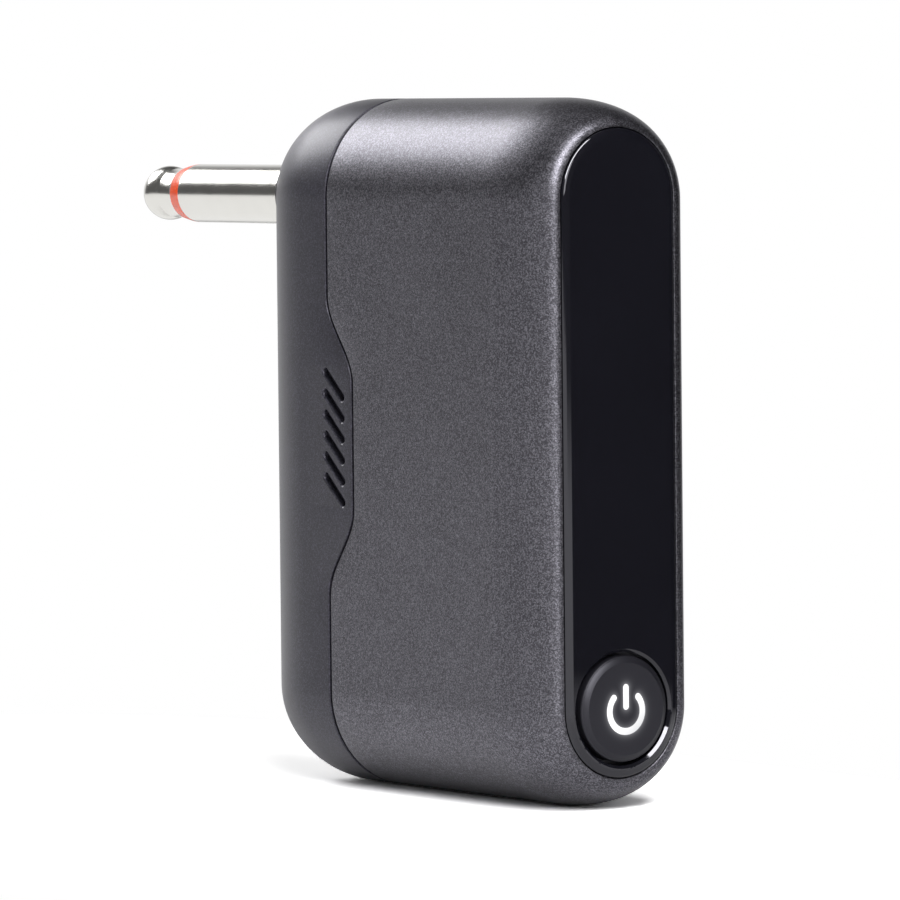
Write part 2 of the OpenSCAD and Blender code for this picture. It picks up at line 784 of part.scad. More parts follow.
module chassis() {
    color([0.15, 0.15, 0.16])
    difference() {
        union() {
            box([chassis_outer_x, flange_plate_y, chassis_bottom_z],
                [chassis_x, ear_y + ear_t, chassis_top_z]);
            stadium_prism(button_board_r, flange_rise, button_z + flange_rise / 2,
                flange_plate_y, flange_plate_y + ear_t);
            for (z = cover_boss_z)
                box([ear_x - boss_r, ear_y, z - boss_r], [chassis_x, ear_y + ear_t, z + boss_r]);
            for (z = case_screw_z) {
                box([chassis_outer_x, flange_plate_y, z - boss_r], [boss_r, block_back_y, z + boss_r]);
                translate([0, 0, z])
                    rod_y(boss_r, front_inner_y, block_back_y);
            }
            for (y = board_post_y)
                for (z = board_post_z)
                    translate([chassis_outer_x, y, z])
                        rotate([0, 90, 0])
                            cylinder(r = boss_r, h = board_x - chassis_outer_x);
        }
        for (z = cover_boss_z)
            translate([ear_x, ear_y, z])
                screw_hole_y(ear_t + cut);
        for (z = case_screw_z)
            translate([0, front_inner_y, z])
                screw_hole_y(screw_bite);
        for (y = board_post_y)
            for (z = board_post_z)
                translate([board_x - screw_bite, y, z])
                    rotate([0, 90, 0])
                        cylinder(r = screw_r + screw_clear, h = screw_bite + cut);
        for (side = [-1, 1])
            translate([side * button_screw_x, flange_plate_y, button_screw_z])
                screw_hole_y(ear_t + cut);
    }
}

module main_board() {
    color([0.05, 0.3, 0.15])
    difference() {
        box([board_x, board_front_y, board_bottom_z], [board_outer_x, board_rear_y, board_top_z]);
        for (y = board_post_y)
            for (z = board_post_z)
                translate([board_x - cut, y, z])
                    rotate([0, 90, 0])
                        cylinder(r = screw_r + screw_clear, h = board_t + 2 * cut);
    }
}

// Block on the main board's inner face: size is height, depth and width
module on_board(size, y, z) {
    translate([board_x - size[0], y, z - size[2] / 2])
        cube(size);
}

module radio_shield() {
    inner = shield_size - [shield_wall, 2 * shield_wall, 2 * shield_wall];
    color([0.75, 0.75, 0.77])
    difference() {
        on_board(shield_size, shield_y, shield_z);
        translate([cut, 0, 0])
            on_board(inner + [cut, 0, 0], shield_y + shield_wall, shield_z);
    }
}

module radio_chip() {
    color([0.08, 0.08, 0.08])
        on_board(radio_chip_size, shield_y + (shield_size[1] - radio_chip_size[1]) / 2, shield_z);
}

module audio_chip() {
    color([0.08, 0.08, 0.08])
        on_board(audio_chip_size, audio_chip_y, audio_chip_z);
}

module charger_chip() {
    color([0.08, 0.08, 0.08])
        on_board(charger_chip_size, charger_chip_y, charger_chip_z);
}

module audio_capacitors() {
    color([0.3, 0.3, 0.35])
        for (i = [0 : capacitor_count - 1])
            translate([board_outer_x, capacitor_y, capacitor_top_z - i * capacitor_pitch])
                rotate([0, 90, 0])
                    cylinder(r = capacitor_r, h = capacitor_h);
}

module antenna() {
    color([0.8, 0.8, 0.82]) {
        box([board_outer_x, antenna_y, antenna_z],
            [board_outer_x + antenna_reach, antenna_y + antenna_t, antenna_z + antenna_w]);
        box([board_outer_x + antenna_reach - antenna_t, antenna_y, antenna_z],
            [board_outer_x + antenna_reach, antenna_y + antenna_len, antenna_z + antenna_w]);
    }
}

module charging_socket() {
    mouth_y = cover_rear_y - socket_sink;
    color([0.75, 0.75, 0.77])
    translate([0, 0, -socket_drop])
        difference() {
            stadium_prism(socket_h / 2, socket_w - socket_h, 0, mouth_y - socket_len, mouth_y);
            stadium_prism(socket_h / 2 - socket_wall, socket_w - socket_h, 0,
                mouth_y - socket_len + tongue_t, mouth_y + cut);
        }
}

module socket_tongue() {
    mouth_y = cover_rear_y - socket_sink;
    color([0.1, 0.1, 0.1])
        box([-tongue_t / 2, mouth_y - socket_len + tongue_t, -socket_drop - tongue_w / 2],
            [tongue_t / 2, mouth_y - tongue_t, -socket_drop + tongue_w / 2]);
}

module battery() {
    color([0.6, 0.6, 0.65])
        box([battery_x - battery_t, battery_front_y, battery_mid_z - battery_h / 2],
            [battery_x, battery_rear_y, battery_top_z]);
}

module battery_pad() {
    color([0.2, 0.2, 0.22])
        box([battery_x, battery_front_y, battery_mid_z - battery_h / 2],
            [chassis_outer_x, battery_rear_y, battery_top_z]);
}

module battery_plug() {
    color([0.9, 0.9, 0.85])
        on_board(battery_plug_size, battery_plug_y, battery_plug_z - battery_plug_size[2] / 2);
}

module battery_wires() {
    x0 = battery_x - battery_t / 2;
    x1 = board_x - battery_plug_size[0] / 2;
    mid_y = battery_plug_y + battery_plug_size[1] / 2;
    color([0.7, 0.1, 0.1])
        for (side = [-1, 1]) {
            y = mid_y + side * battery_wire_pitch / 2;
            wire([[x0, y, battery_top_z], [x0, y, wire_over_z], [x1, y, wire_over_z],
                [x1, y, battery_plug_z]]);
        }
}

module button_board() {
    color([0.05, 0.3, 0.15])
    difference() {
        stadium_prism(button_board_r, button_board_rise, button_z + button_board_rise / 2,
            button_board_y, flange_plate_y);
        for (side = [-1, 1])
            translate([side * button_screw_x, button_board_y, button_screw_z])
                screw_hole_y(board_t + cut);
    }
}

module button_switch() {
    color([0.12, 0.12, 0.12])
    difference() {
        box([-switch_w / 2, button_board_y - switch_h, button_z - switch_w / 2],
            [switch_w / 2, button_board_y, button_z + switch_w / 2]);
        translate([0, 0, button_z])
            rod_y(plunger_r + plunger_clear, button_board_y - switch_h - cut,
                button_board_y - switch_h + plunger_out + button_travel + plunger_clear);
    }
}

module switch_plunger() {
    color([0.85, 0.8, 0.7])
    translate([0, 0, button_z])
        rod_y(plunger_r, plunger_y, plunger_y + 2 * plunger_out);
}

module button_leds() {
    color([1, 1, 0.9])
        for (side = [-1, 1])
            translate([side * led_x, button_board_y - led_size[1] / 2, button_z])
                cube(led_size, center = true);
}

module button_flex() {
    z0 = button_z + flange_rise + button_board_r + (button_board_lift - flex_w) / 2;
    color([0.7, 0.45, 0.15])
        box([board_x - flex_t, flange_plate_y, z0],
            [board_x, board_front_y + flex_len, z0 + flex_w]);
}

module cover_seal() {
    color([0.05, 0.05, 0.05])
    difference() {
        stadium_prism(cavity_r, span, mid_z, seal_y, seal_y + seal_w);
        stadium_prism(lip_r - seal_sink, span, mid_z, seal_y - cut, seal_y + seal_w + cut);
    }
}

module case_screws() {
    color([0.6, 0.6, 0.62])
        for (z = case_screw_z)
            translate([0, recess_y + screw_head_t, z])
                screw_y(front_wall - screw_head_t + screw_bite - cut);
}

module cover_screws() {
    color([0.6, 0.6, 0.62])
        for (z = cover_boss_z)
            translate([ear_x, ear_y, z])
                screw_y(ear_t + screw_bite - cut);
}

module board_screws() {
    color([0.6, 0.6, 0.62])
        for (y = board_post_y)
            for (z = board_post_z)
                translate([board_outer_x, y, z])
                    rotate([0, 0, 90])
                        screw_y(board_t + screw_bite - cut);
}

module button_board_screws() {
    color([0.6, 0.6, 0.62])
        for (side = [-1, 1])
            translate([side * button_screw_x, button_board_y, button_screw_z])
                screw_y(board_t + ear_t);
}

housing();
rear_cover();
front_panel();
panel_adhesive();
power_button();
power_icon();
plug_sleeve();
plug_tip();
plug_insulator();
plug_collar();
plug_liner();
plug_washer();
sleeve_lug();
plug_nut();
plug_bush();
tip_lug();
signal_wire();
ground_wire();
chassis();
main_board();
radio_shield();
radio_chip();
audio_chip();
charger_chip();
audio_capacitors();
antenna();
charging_socket();
socket_tongue();
battery();
battery_pad();
battery_plug();
battery_wires();
button_board();
button_switch();
switch_plunger();
button_leds();
button_flex();
cover_seal();
case_screws();
cover_screws();
board_screws();
button_board_screws();
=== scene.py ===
"""Looks of a pocket wireless guitar transmitter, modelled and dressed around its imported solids."""

import logging
import math
from collections.abc import Callable, Sequence
from dataclasses import dataclass
from enum import Enum
from functools import cache
from itertools import pairwise

import bmesh
import bpy
from mathutils import Matrix, Vector


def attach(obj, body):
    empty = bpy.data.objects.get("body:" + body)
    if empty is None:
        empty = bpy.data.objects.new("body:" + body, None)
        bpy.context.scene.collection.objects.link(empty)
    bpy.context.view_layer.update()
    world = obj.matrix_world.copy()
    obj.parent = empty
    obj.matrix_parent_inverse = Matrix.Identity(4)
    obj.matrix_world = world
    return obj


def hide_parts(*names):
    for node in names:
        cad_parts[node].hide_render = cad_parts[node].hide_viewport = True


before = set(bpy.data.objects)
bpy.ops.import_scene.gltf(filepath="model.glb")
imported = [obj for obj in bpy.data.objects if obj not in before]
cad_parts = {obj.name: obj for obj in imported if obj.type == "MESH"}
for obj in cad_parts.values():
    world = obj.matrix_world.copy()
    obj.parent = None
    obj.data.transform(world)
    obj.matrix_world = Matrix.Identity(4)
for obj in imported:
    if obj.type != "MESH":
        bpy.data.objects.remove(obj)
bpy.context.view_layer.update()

LOG = logging.getLogger("transmitter")
MM = 0.001
PER_MM = 1 / MM
WELD = 0.0005
# In millimetres: how far a cutter runs past a face, how closely a step holds an edge,
# and how exactly points are told apart by their place
PAST = 1.0
HOLD = 0.05
SLACK = 0.05

Colour = tuple[float, float, float]
Paint = Colour | bpy.types.NodeSocket
Profile = list[tuple[float, float]]


class Body(Enum):
    """The bodies that pieces ride on."""

    CASE = "case"
    BUTTON = "button"


class Element(Enum):
    """What is selected in a mesh."""

    EDGE = "EDGE"
    FACE = "FACE"


class Tool(Enum):
    """What a tool does to a piece."""

    CUT = "DIFFERENCE"
    JOIN = "UNION"


def math_method(operation: str, first: bool = True) -> Callable[..., "Number"]:
    """Makes a method of Number.

    Args:
        operation: the Math node's operation.
        first: whether the number itself is the first term, or the last.

    Returns:
        The method.
    """

    def method(number: "Number", *others: "Number | float") -> "Number":
        """Works the operation out on this number and the others."""
        return number.math(operation, *((number, *others) if first else (*others, number)))

    return method


class Number:
    """A number that varies over a surface; arithmetic on it adds Math nodes."""

    __add__, __radd__ = math_method("ADD"), math_method("ADD", first=False)
    __sub__, __rsub__ = math_method("SUBTRACT"), math_method("SUBTRACT", first=False)
    __mul__, __rmul__ = math_method("MULTIPLY"), math_method("MULTIPLY", first=False)
    __abs__, root, exponential = math_method("ABSOLUTE"), math_method("SQRT"), math_method("EXPONENT")
    least, most, above = math_method("MINIMUM"), math_method("MAXIMUM"), math_method("GREATER_THAN")

    def __init__(self, recipe: "Recipe", socket: bpy.types.NodeSocket) -> None:
        """Wraps one output socket of a recipe."""
        self.recipe = recipe
        self.socket = socket

    def math(self, operation: str, *terms: "Number | float", clamp: bool = False) -> "Number":
        """Adds one Math node.

        Args:
            operation: the node's operation.
            terms: its inputs, in order.
            clamp: whether the result is kept between 0 and 1.

        Returns:
            The node's result.
        """
        inputs = dict(enumerate(terms))
        made = self.recipe.node("Math", inputs, operation=operation, use_clamp=clamp)
        return Number(self.recipe, made.outputs[0])

    def ramp(self, low: float, high: float) -> "Number":
        """Straight ramp from 0 at low to 1 at high, held at both ends."""
        return self.math("MULTIPLY", self - low, 1 / (high - low), clamp=True)


class Recipe:
    """Node tree of a finish, of the floor or of the world."""

    def __init__(self, tree: bpy.types.NodeTree) -> None:
        """Starts from an empty tree."""
        self.tree = tree
        self.tree.nodes.clear()

    def node(self, kind: str, inputs: dict | None = None, **settings: object) -> bpy.types.Node:
        """Adds a shader node.

        Args:
            kind: the node's type.
            inputs: socket name or index to a value, a socket or a Number.
            settings: attributes, set first.

        Returns:
            The new node.
        """
        made = self.tree.nodes.new("ShaderNode" + kind)
        for key, value in settings.items():
            setattr(made, key, value)
        for key, value in (inputs or {}).items():
            socket = made.inputs[key]
            source = value.socket if isinstance(value, Number) else value
            if isinstance(source, bpy.types.NodeSocket):
                self.tree.links.new(source, socket)
            elif isinstance(value, tuple) and len(value) == 3 and socket.type == "RGBA":
                socket.default_value = (*value, 1.0)
            else:
                socket.default_value = value
        return made

    def place(self) -> bpy.types.NodeSocket:
        """Object coordinates, which are the part's own frame in metres."""
        return self.node("TexCoord").outputs["Object"]

    def axes(self, vector: bpy.types.NodeSocket) -> tuple[Number, Number, Number]:
        """The three numbers of a vector."""
        split = self.node("SeparateXYZ", {0: vector})
        return tuple(Number(self, socket) for socket in split.outputs)

    def noise(
        self, cell: float, detail: float = 2.0, rough: float = 0.5, stretch: Colour = (1, 1, 1)
    ) -> Number:
        """Soft noise on the part's own coordinates.

        Args:
            cell: size of its cells, in millimetres.
            detail: number of finer layers.
            rough: weight of the finer layers.
            stretch: factors on the three axes, where a smaller one draws the cells out.

        Returns:
            The noise, about 0.5.
        """
        placed = self.node("Mapping", {"Vector": self.place(), "Scale": stretch}).outputs[0]
        inputs = {"Vector": placed, "Scale": 1 / (cell * MM), "Detail": detail, "Roughness": rough}
        return Number(self, self.node("TexNoise", inputs).outputs["Fac"])

    def flakes(self, cell: float) -> Number:
        """A random number, even over each flake, on flakes of a size in millimetres."""
        inputs = {"Vector": self.place(), "Scale": 1 / (cell * MM)}
        return self.axes(self.node("TexVoronoi", inputs, feature="F1").outputs["Color"])[0]

    def blend(self, share: Number, first: Paint, second: Paint) -> bpy.types.NodeSocket:
        """The colour between two others, where a share of 1 is all of the second."""
        inputs = {0: share, 6: first, 7: second}
        return self.node("Mix", inputs, data_type="RGBA", clamp_factor=True).outputs[2]

    def bump(self, height: Number, depth: float, strength: float) -> bpy.types.NodeSocket:
        """The normal of a relief with a full depth in millimetres and a weight."""
        inputs = {"Strength": strength, "Distance": depth * MM, "Height": height}
        return self.node("Bump", inputs).outputs[0]

    def surface(self, inputs: dict) -> None:
        """Ends the tree in one Principled shader with these inputs."""
        shader = self.node("BsdfPrincipled", inputs)
        self.node("OutputMaterial", {"Surface": shader.outputs[0]})


@dataclass(frozen=True)
class Finish:
    """A surface finish; each kind says how its nodes are laid out."""

    name: str
    slot: str

    @cache
    def make(self) -> bpy.types.Material:
        """Builds the material, once.

        Returns:
            The material.
        """
        material = bpy.data.materials.new(f"{self.name}_finish")
        material.use_nodes = True
        self.mix(Recipe(material.node_tree))
        return material

    def mix(self, recipe: Recipe) -> None:
        """Lays out the nodes."""
        raise NotImplementedError


@dataclass(frozen=True)
class FlakePaint(Finish):
    """Satin metallic surface with fine flakes, a few of them bright."""

    dark: Colour = (0.058, 0.0563, 0.065)
    light: Colour = (0.33, 0.322, 0.368)
    flake: float = 0.11
    grain: float = 0.22
    relief: float = 0.0118
    metallic: float = 0.95
    roughness: float = 0.39
    coat: float = 0.0
    coat_roughness: float = 0.3

    def mix(self, recipe: Recipe) -> None:
        """Flakes shift colour and roughness, and a fine grain breaks up the highlights.

        Args:
            recipe: the material's node tree.
        """
        flake = recipe.flakes(self.flake)
        drift = recipe.noise(cell=9.0, detail=3.0)
        grain = recipe.noise(self.grain, rough=0.6)
        share = (flake * flake * 0.7 + grain * 0.25 + drift * 0.1 - 0.1).most(0.0)
        recipe.surface({
            "Base Color": recipe.blend(share, self.dark, self.light),
            "Metallic": self.metallic,
            "Roughness": self.roughness + (flake - 0.5) * 0.12 + (drift - 0.5) * 0.04,
            "Coat Weight": self.coat,
            "Coat Roughness": self.coat_roughness,
            "Normal": recipe.bump(grain * 0.6 + flake * 0.4, self.relief, strength=0.55),
        })


@dataclass(frozen=True)
class MouldedPlastic(Finish):
    """Matte moulded plastic with a fine spark-eroded grain."""

    colour: Colour = (0.030, 0.0295, 0.033)
    tint: Colour = (0.042, 0.0415, 0.046)
    grain: float = 0.18
    relief: float = 0.008
    roughness: float = 0.42

    def mix(self, recipe: Recipe) -> None:
        """Grain in relief, and a slow drift in colour and sheen.

        Args:
            recipe: the material's node tree.
        """
        grain = recipe.noise(self.grain, detail=3.0, rough=0.6)
        drift = recipe.noise(cell=7.0)
        recipe.surface({
            "Base Color": recipe.blend(grain * 0.6 + drift * 0.4, self.colour, self.tint),
            "Roughness": self.roughness + (drift - 0.5) * 0.08 + (grain - 0.5) * 0.06,
            "Normal": recipe.bump(grain, self.relief, strength=0.6),
        })


@dataclass(frozen=True)
class GlossPlate(Finish):
    """Polished black plastic with a faint moulding wave and a few dulled patches."""

    colour: Colour = (0.0036, 0.0035, 0.0058)
    tint: Colour = (0.0056, 0.0055, 0.0086)
    roughness: float = 0.05
    index: float = 1.7
    sheen: Colour = (0.94, 0.93, 1.0)

    def mix(self, recipe: Recipe) -> None:
        """A slow wave in the gloss.

        Args:
            recipe: the material's node tree.
        """
        wave = recipe.noise(cell=14.0)
        dust = recipe.noise(cell=0.5, rough=0.6).ramp(0.66, 0.8)
        recipe.surface({
            "Base Color": recipe.blend(wave, self.colour, self.tint),
            "Roughness": self.roughness + (wave - 0.5) * 0.02 + dust * 0.04,
            "IOR": self.index,
            "Specular Tint": self.sheen,
            "Normal": recipe.bump(wave, depth=0.004, strength=0.25),
        })


@dataclass(frozen=True)
class PowerSymbol:
    """Sizes of the power symbol, in millimetres and degrees."""

    centre_z: float = -51.7
    outer_r: float = 2.4
    stroke: float = 0.68
    bar_h: float = 2.6
    opening: float = 78.0

    @property
    def mid_r(self) -> float:
        """Radius of the middle of the ring's stroke."""
        return self.outer_r - self.stroke / 2

    @property
    def bar_top(self) -> float:
        """Height of the bar's upper end over the ring's centre."""
        return self.outer_r + self.stroke / 2

    @property
    def end_angle(self) -> float:
        """Angle from the vertical to the middle of the ring's round end, in radians."""
        return math.radians(self.opening / 2) + self.stroke / 2 / self.mid_r


@dataclass(frozen=True)
class CapPlastic(Finish):
    """Matte black plastic that glows faintly close to the lit symbol set in it."""

    colour: Colour = (0.0080, 0.0077, 0.0106)
    tint: Colour = (0.0124, 0.0120, 0.0160)
    roughness: float = 0.42
    sheen: Colour = (0.90, 0.89, 1.0)
    glow: Colour = (0.15, 0.15, 0.158)
    glow_reach: float = 0.24
    out_of_reach: float = 9.0
    symbol: PowerSymbol = PowerSymbol()

    def halo(self, recipe: Recipe) -> Number:
        """Glow that is 1 on the symbol's strokes and fades with the distance from them.

        Args:
            recipe: the material's node tree.

        Returns:
            The glow, from 0 to 1.
        """
        mark, half = self.symbol, self.symbol.stroke / 2
        x, _, z = recipe.axes(recipe.place())
        across, up = abs(x) * PER_MM, z * PER_MM - mark.centre_z
        radius = (across * across + up * up).root()
        in_opening = up.above(radius * math.cos(mark.end_angle))
        ring = abs(radius - mark.mid_r) + in_opening * self.out_of_reach
        end_x = across - mark.mid_r * math.sin(mark.end_angle)
        end_z = up - mark.mid_r * math.cos(mark.end_angle)
        end = (end_x * end_x + end_z * end_z).root()
        low, high = mark.bar_top - mark.bar_h + half, mark.bar_top - half
        past = (low - up).most(up - high).most(0.0)
        bar = (across * across + past * past).root()
        edge = (ring.least(end).least(bar) - half).most(0.0)
        return (edge * (-1 / self.glow_reach)).exponential()

    def mix(self, recipe: Recipe) -> None:
        """Fine grain and the halo.

        Args:
            recipe: the material's node tree.
        """
        grain = recipe.noise(cell=0.14, detail=3.0, rough=0.6)
        drift = recipe.noise(cell=5.0)
        recipe.surface({
            "Base Color": recipe.blend(grain * 0.6 + drift * 0.4, self.colour, self.tint),
            "Roughness": self.roughness + (drift - 0.5) * 0.06,
            "Specular Tint": self.sheen,
            "Emission Color": recipe.blend(self.halo(recipe), (0, 0, 0), self.glow),
            "Emission Strength": 1.0,
            "Normal": recipe.bump(grain, depth=0.004, strength=0.5),
        })


@dataclass(frozen=True)
class LitGuide(Finish):
    """White light guide, lit from behind and a little dimmer towards its lower right."""

    colour: Colour = (0.20, 0.20, 0.205)
    tint: Colour = (0.26, 0.26, 0.265)
    light: Colour = (1.0, 1.0, 1.0)
    shade: Colour = (0.55, 0.55, 0.56)
    glow: float = 0.92
    roughness: float = 0.35
    middle_z: float = -51.7
    fade: tuple[float, float] = (0.6, 3.4)

    def mix(self, recipe: Recipe) -> None:
        """Light with a slight unevenness from the lamps behind.

        Args:
            recipe: the material's node tree.
        """
        patch = recipe.noise(cell=1.6, detail=1.0)
        x, _, z = recipe.axes(recipe.place())
        low_right = ((x - z) * PER_MM + self.middle_z).ramp(*self.fade)
        recipe.surface({
            "Base Color": recipe.blend(patch, self.colour, self.tint),
            "Roughness": self.roughness + patch * 0.1,
            "Emission Color": recipe.blend(low_right * (0.7 + patch * 0.6), self.light, self.shade),
            "Emission Strength": self.glow,
        })


@dataclass(frozen=True)
class PlatedMetal(Finish):
    """Turned and plated metal: fine lines round the turning axis, and faint smudges."""

    colour: Colour = (0.73, 0.72, 0.685)
    tint: Colour = (0.80, 0.79, 0.755)
    roughness: float = 0.19
    line: float = 0.05
    relief: float = 0.0012

    def mix(self, recipe: Recipe) -> None:
        """Turning lines across Y, and smudges.

        Args:
            recipe: the material's node tree.
        """
        lines = recipe.noise(self.line, rough=0.6, stretch=(0.02, 1.0, 0.02))
        smudge = recipe.noise(cell=2.2, detail=3.0, rough=0.55)
        recipe.surface({
            "Base Color": recipe.blend(smudge * 0.7 + lines * 0.3, self.colour, self.tint),
            "Metallic": 1.0,
            "Roughness": self.roughness + (smudge - 0.5) * 0.08 + (lines - 0.5) * 0.05,
            "Normal": recipe.bump(lines, self.relief, strength=0.5),
        })


@dataclass(frozen=True)
class InsulatorPlastic(Finish):
    """Glossy coloured plastic ring."""

    colour: Colour = (0.92, 0.068, 0.006)
    tint: Colour = (0.97, 0.1, 0.012)
    roughness: float = 0.26
    gloss: float = 0.8
    index: float = 1.6

    def mix(self, recipe: Recipe) -> None:
        """Moulding flow in the colour, and a soft grain.

        Args:
            recipe: the material's node tree.
        """
        flow = recipe.noise(cell=0.9, detail=3.0, rough=0.55)
        recipe.surface({
            "Base Color": recipe.blend(flow, self.colour, self.tint),
            "Roughness": self.roughness + (flow - 0.5) * 0.1,
            "Specular IOR Level": self.gloss,
            "IOR": self.index,
            "Normal": recipe.bump(flow, depth=0.004, strength=0.4),
        })


@dataclass(frozen=True)
class InnerFinish(Finish):
    """Finish of a piece inside the case: two colours in speckles or patches, with relief."""

    colour: Colour
    tint: Colour
    cell: float
    relief: float
    roughness: float
    metallic: float = 0.0

    def mix(self, recipe: Recipe) -> None:
        """Patches over a fine grain.

        Args:
            recipe: the material's node tree.
        """
        patch = recipe.noise(self.cell, detail=3.0, rough=0.6)
        fine = recipe.noise(self.cell * 0.3)
        recipe.surface({
            "Base Color": recipe.blend(patch.ramp(0.3, 0.7), self.colour, self.tint),
            "Metallic": self.metallic,
            "Roughness": self.roughness + (fine - 0.5) * 0.12,
            "Normal": recipe.bump(patch * 0.5 + fine * 0.5, self.relief, strength=0.5),
        })


class Piece:
    """One mesh under construction in the part's frame, in millimetres until it is dressed."""

    def __init__(self, obj: bpy.types.Object, name: str) -> None:
        """Takes over a new object.

        Args:
            obj: the object.
            name: the piece's name.
        """
        self.obj = obj
        self.obj.name = name
        self.obj.data.name = name

    @staticmethod
    def clear_hands() -> None:
        """Leaves edit mode and deselects everything."""
        if bpy.context.object is not None and bpy.context.object.mode != "OBJECT":
            bpy.ops.object.mode_set(mode="OBJECT")
        bpy.ops.object.select_all(action="DESELECT")

    def hold(self) -> None:
        """Makes this the only selected object, and the active one."""
        self.clear_hands()
        self.obj.select_set(True)
        bpy.context.view_layer.objects.active = self.obj

    def edit(self) -> None:
        """Enters edit mode with nothing selected."""
        self.hold()
        bpy.ops.object.mode_set(mode="EDIT")
        bpy.ops.mesh.select_mode(type="VERT")
        bpy.ops.mesh.select_all(action="DESELECT")

    def edit_all(self) -> None:
        """Enters edit mode with everything selected."""
        self.edit()
        bpy.ops.mesh.select_all(action="SELECT")

    def rest(self) -> None:
        """Leaves edit mode."""
        bpy.ops.object.mode_set(mode="OBJECT")

    def pick(self, kind: Element, test: Callable[[object], bool]) -> int:
        """Selects elements in edit mode, and nothing else.

        Args:
            kind: edges or faces.
            test: says which elements.

        Returns:
            How many were selected.
        """
        bpy.ops.mesh.select_mode(type=kind.value)
        bpy.ops.mesh.select_all(action="DESELECT")
        mesh = bmesh.from_edit_mesh(self.obj.data)
        pool = {Element.EDGE: mesh.edges, Element.FACE: mesh.faces}[kind]
        found = [element for element in pool if test(element)]
        for element in found:
            element.select_set(True)
        mesh.select_flush_mode()
        bmesh.update_edit_mesh(self.obj.data)
        return len(found)

    @staticmethod
    def extrude(move: Sequence[float] = (0, 0, 0)) -> None:
        """Extrudes what is selected by millimetres, in edit mode."""
        bpy.ops.mesh.extrude_region_move(TRANSFORM_OT_translate={"value": tuple(move)})

    def settle(self) -> None:
        """Puts the object's place, turn and scale into its mesh."""
        self.hold()
        bpy.ops.object.transform_apply(location=True, rotation=True, scale=True)

    @classmethod
    def circle(cls, name: str, radius: float, centre: Sequence[float], sides: int) -> "Piece":
        """A bare ring of edges about an axis along Y, selected in edit mode.

        Args:
            name: the piece's name.
            radius: its radius, in millimetres.
            centre: its middle, in millimetres.
            sides: its number of edges.

        Returns:
            The new piece.
        """
        cls.clear_hands()
        bpy.ops.mesh.primitive_circle_add(
            vertices=sides, radius=radius, fill_type="NOTHING",
            location=centre, rotation=(math.pi / 2, 0, 0),
        )
        made = cls(bpy.context.object, name)
        made.settle()
        made.edit_all()
        return made

    @classmethod
    def turned(cls, name: str, profile: Profile, axis_z: float = 0.0, sides: int = 128) -> "Piece":
        """A piece turned about an axis along Y.

        Args:
            name: the piece's name.
            profile: radius and depth of each step, in millimetres. A profile that ends where it
                starts is a ring; any other is closed to the axis at both ends.
            axis_z: height of the axis, in millimetres.
            sides: steps round the axis.

        Returns:
            The new piece.
        """
        radius, depth = profile[0]
        made = cls.circle(name, radius, (0, depth, axis_z), sides)
        for (r0, y0), (r1, y1) in pairwise(profile):
            made.extrude((0, y1 - y0, 0))
            centre = (0, y1, axis_z)
            bpy.ops.transform.resize(value=(r1 / r0, 1, r1 / r0), center_override=centre)
        if profile[0] != profile[-1]:
            made.close_to_axis()
            made.pick(Element.EDGE, lambda edge: edge.is_boundary)
            made.close_to_axis()
        return made.weld()

    @classmethod
    def rod(
        cls, name: str, radius: float, y0: float, y1: float, axis_z: float = 0.0, sides: int = 64
    ) -> "Piece":
        """A plain rod along Y between two depths."""
        return cls.turned(name, [(radius, y0), (radius, y1)], axis_z, sides)

    def close_to_axis(self) -> None:
        """Closes the selected ring to one point at its middle."""
        self.extrude()
        bpy.ops.mesh.merge(type="CENTER")

    def weld(self) -> "Piece":
        """Merges doubles, points all faces outwards and leaves edit mode.

        Returns:
            The same piece.
        """
        bpy.ops.mesh.select_all(action="SELECT")
        bpy.ops.mesh.remove_doubles(threshold=WELD)
        bpy.ops.mesh.select_all(action="SELECT")
        bpy.ops.mesh.normals_make_consistent(inside=False)
        self.rest()
        return self

    def stretch(self, axis_z: float, span: float, cuts: int = 8) -> "Piece":
        """Parts a turned piece at its axis, and draws the lower half down on straight sides.

        Args:
            axis_z: height of the axis, in millimetres.
            span: distance between the two halves' axes, in millimetres.
            cuts: cuts across the straight sides.

        Returns:
            The same piece.
        """
        self.edit()
        self.pick(Element.FACE, lambda face: face.calc_center_median().z < axis_z)
        bpy.ops.mesh.split()
        bpy.ops.transform.translate(value=(0, 0, -span))
        self.pick(Element.EDGE, lambda edge: edge.is_boundary)
        bpy.ops.mesh.bridge_edge_loops(number_cuts=cuts, interpolation="LINEAR", smoothness=0)
        return self.weld()

    def apply(self, kind: str, **settings: object) -> None:
        """Adds a modifier, and applies it.

        Args:
            kind: the modifier's type.
            settings: its attributes.
        """
        self.hold()
        modifier = self.obj.modifiers.new(kind.title(), kind)
        for key, value in settings.items():
            setattr(modifier, key, value)
        bpy.ops.object.modifier_apply(modifier=modifier.name)

    def cut(self, *tools: "Piece", action: Tool = Tool.CUT) -> "Piece":
        """Cuts tools out of the piece, or joins them to it, and uses them up.

        Args:
            tools: the pieces to cut out or to join.
            action: which of the two.

        Returns:
            The same piece.
        """
        for tool in tools:
            self.apply("BOOLEAN", operation=action.value, object=tool.obj, solver="EXACT")
            bpy.data.objects.remove(tool.obj, do_unlink=True)
            self.edit()
            self.weld()
        return self

    def push(self, weight: Callable[[Vector], float], distance: float) -> None:
        """Moves points along Y.

        Args:
            weight: share of the distance for a point in millimetres.
            distance: the full move, in millimetres.
        """
        group = self.obj.vertex_groups.new(name="push")
        for vertex in self.obj.data.vertices:
            share = weight(vertex.co)
            if share > 0:
                group.add([vertex.index], share, "REPLACE")
        settings = {"direction": "Y", "mid_level": 0.0, "vertex_group": "push"}
        self.apply("DISPLACE", strength=distance, **settings)
        self.obj.vertex_groups.clear()

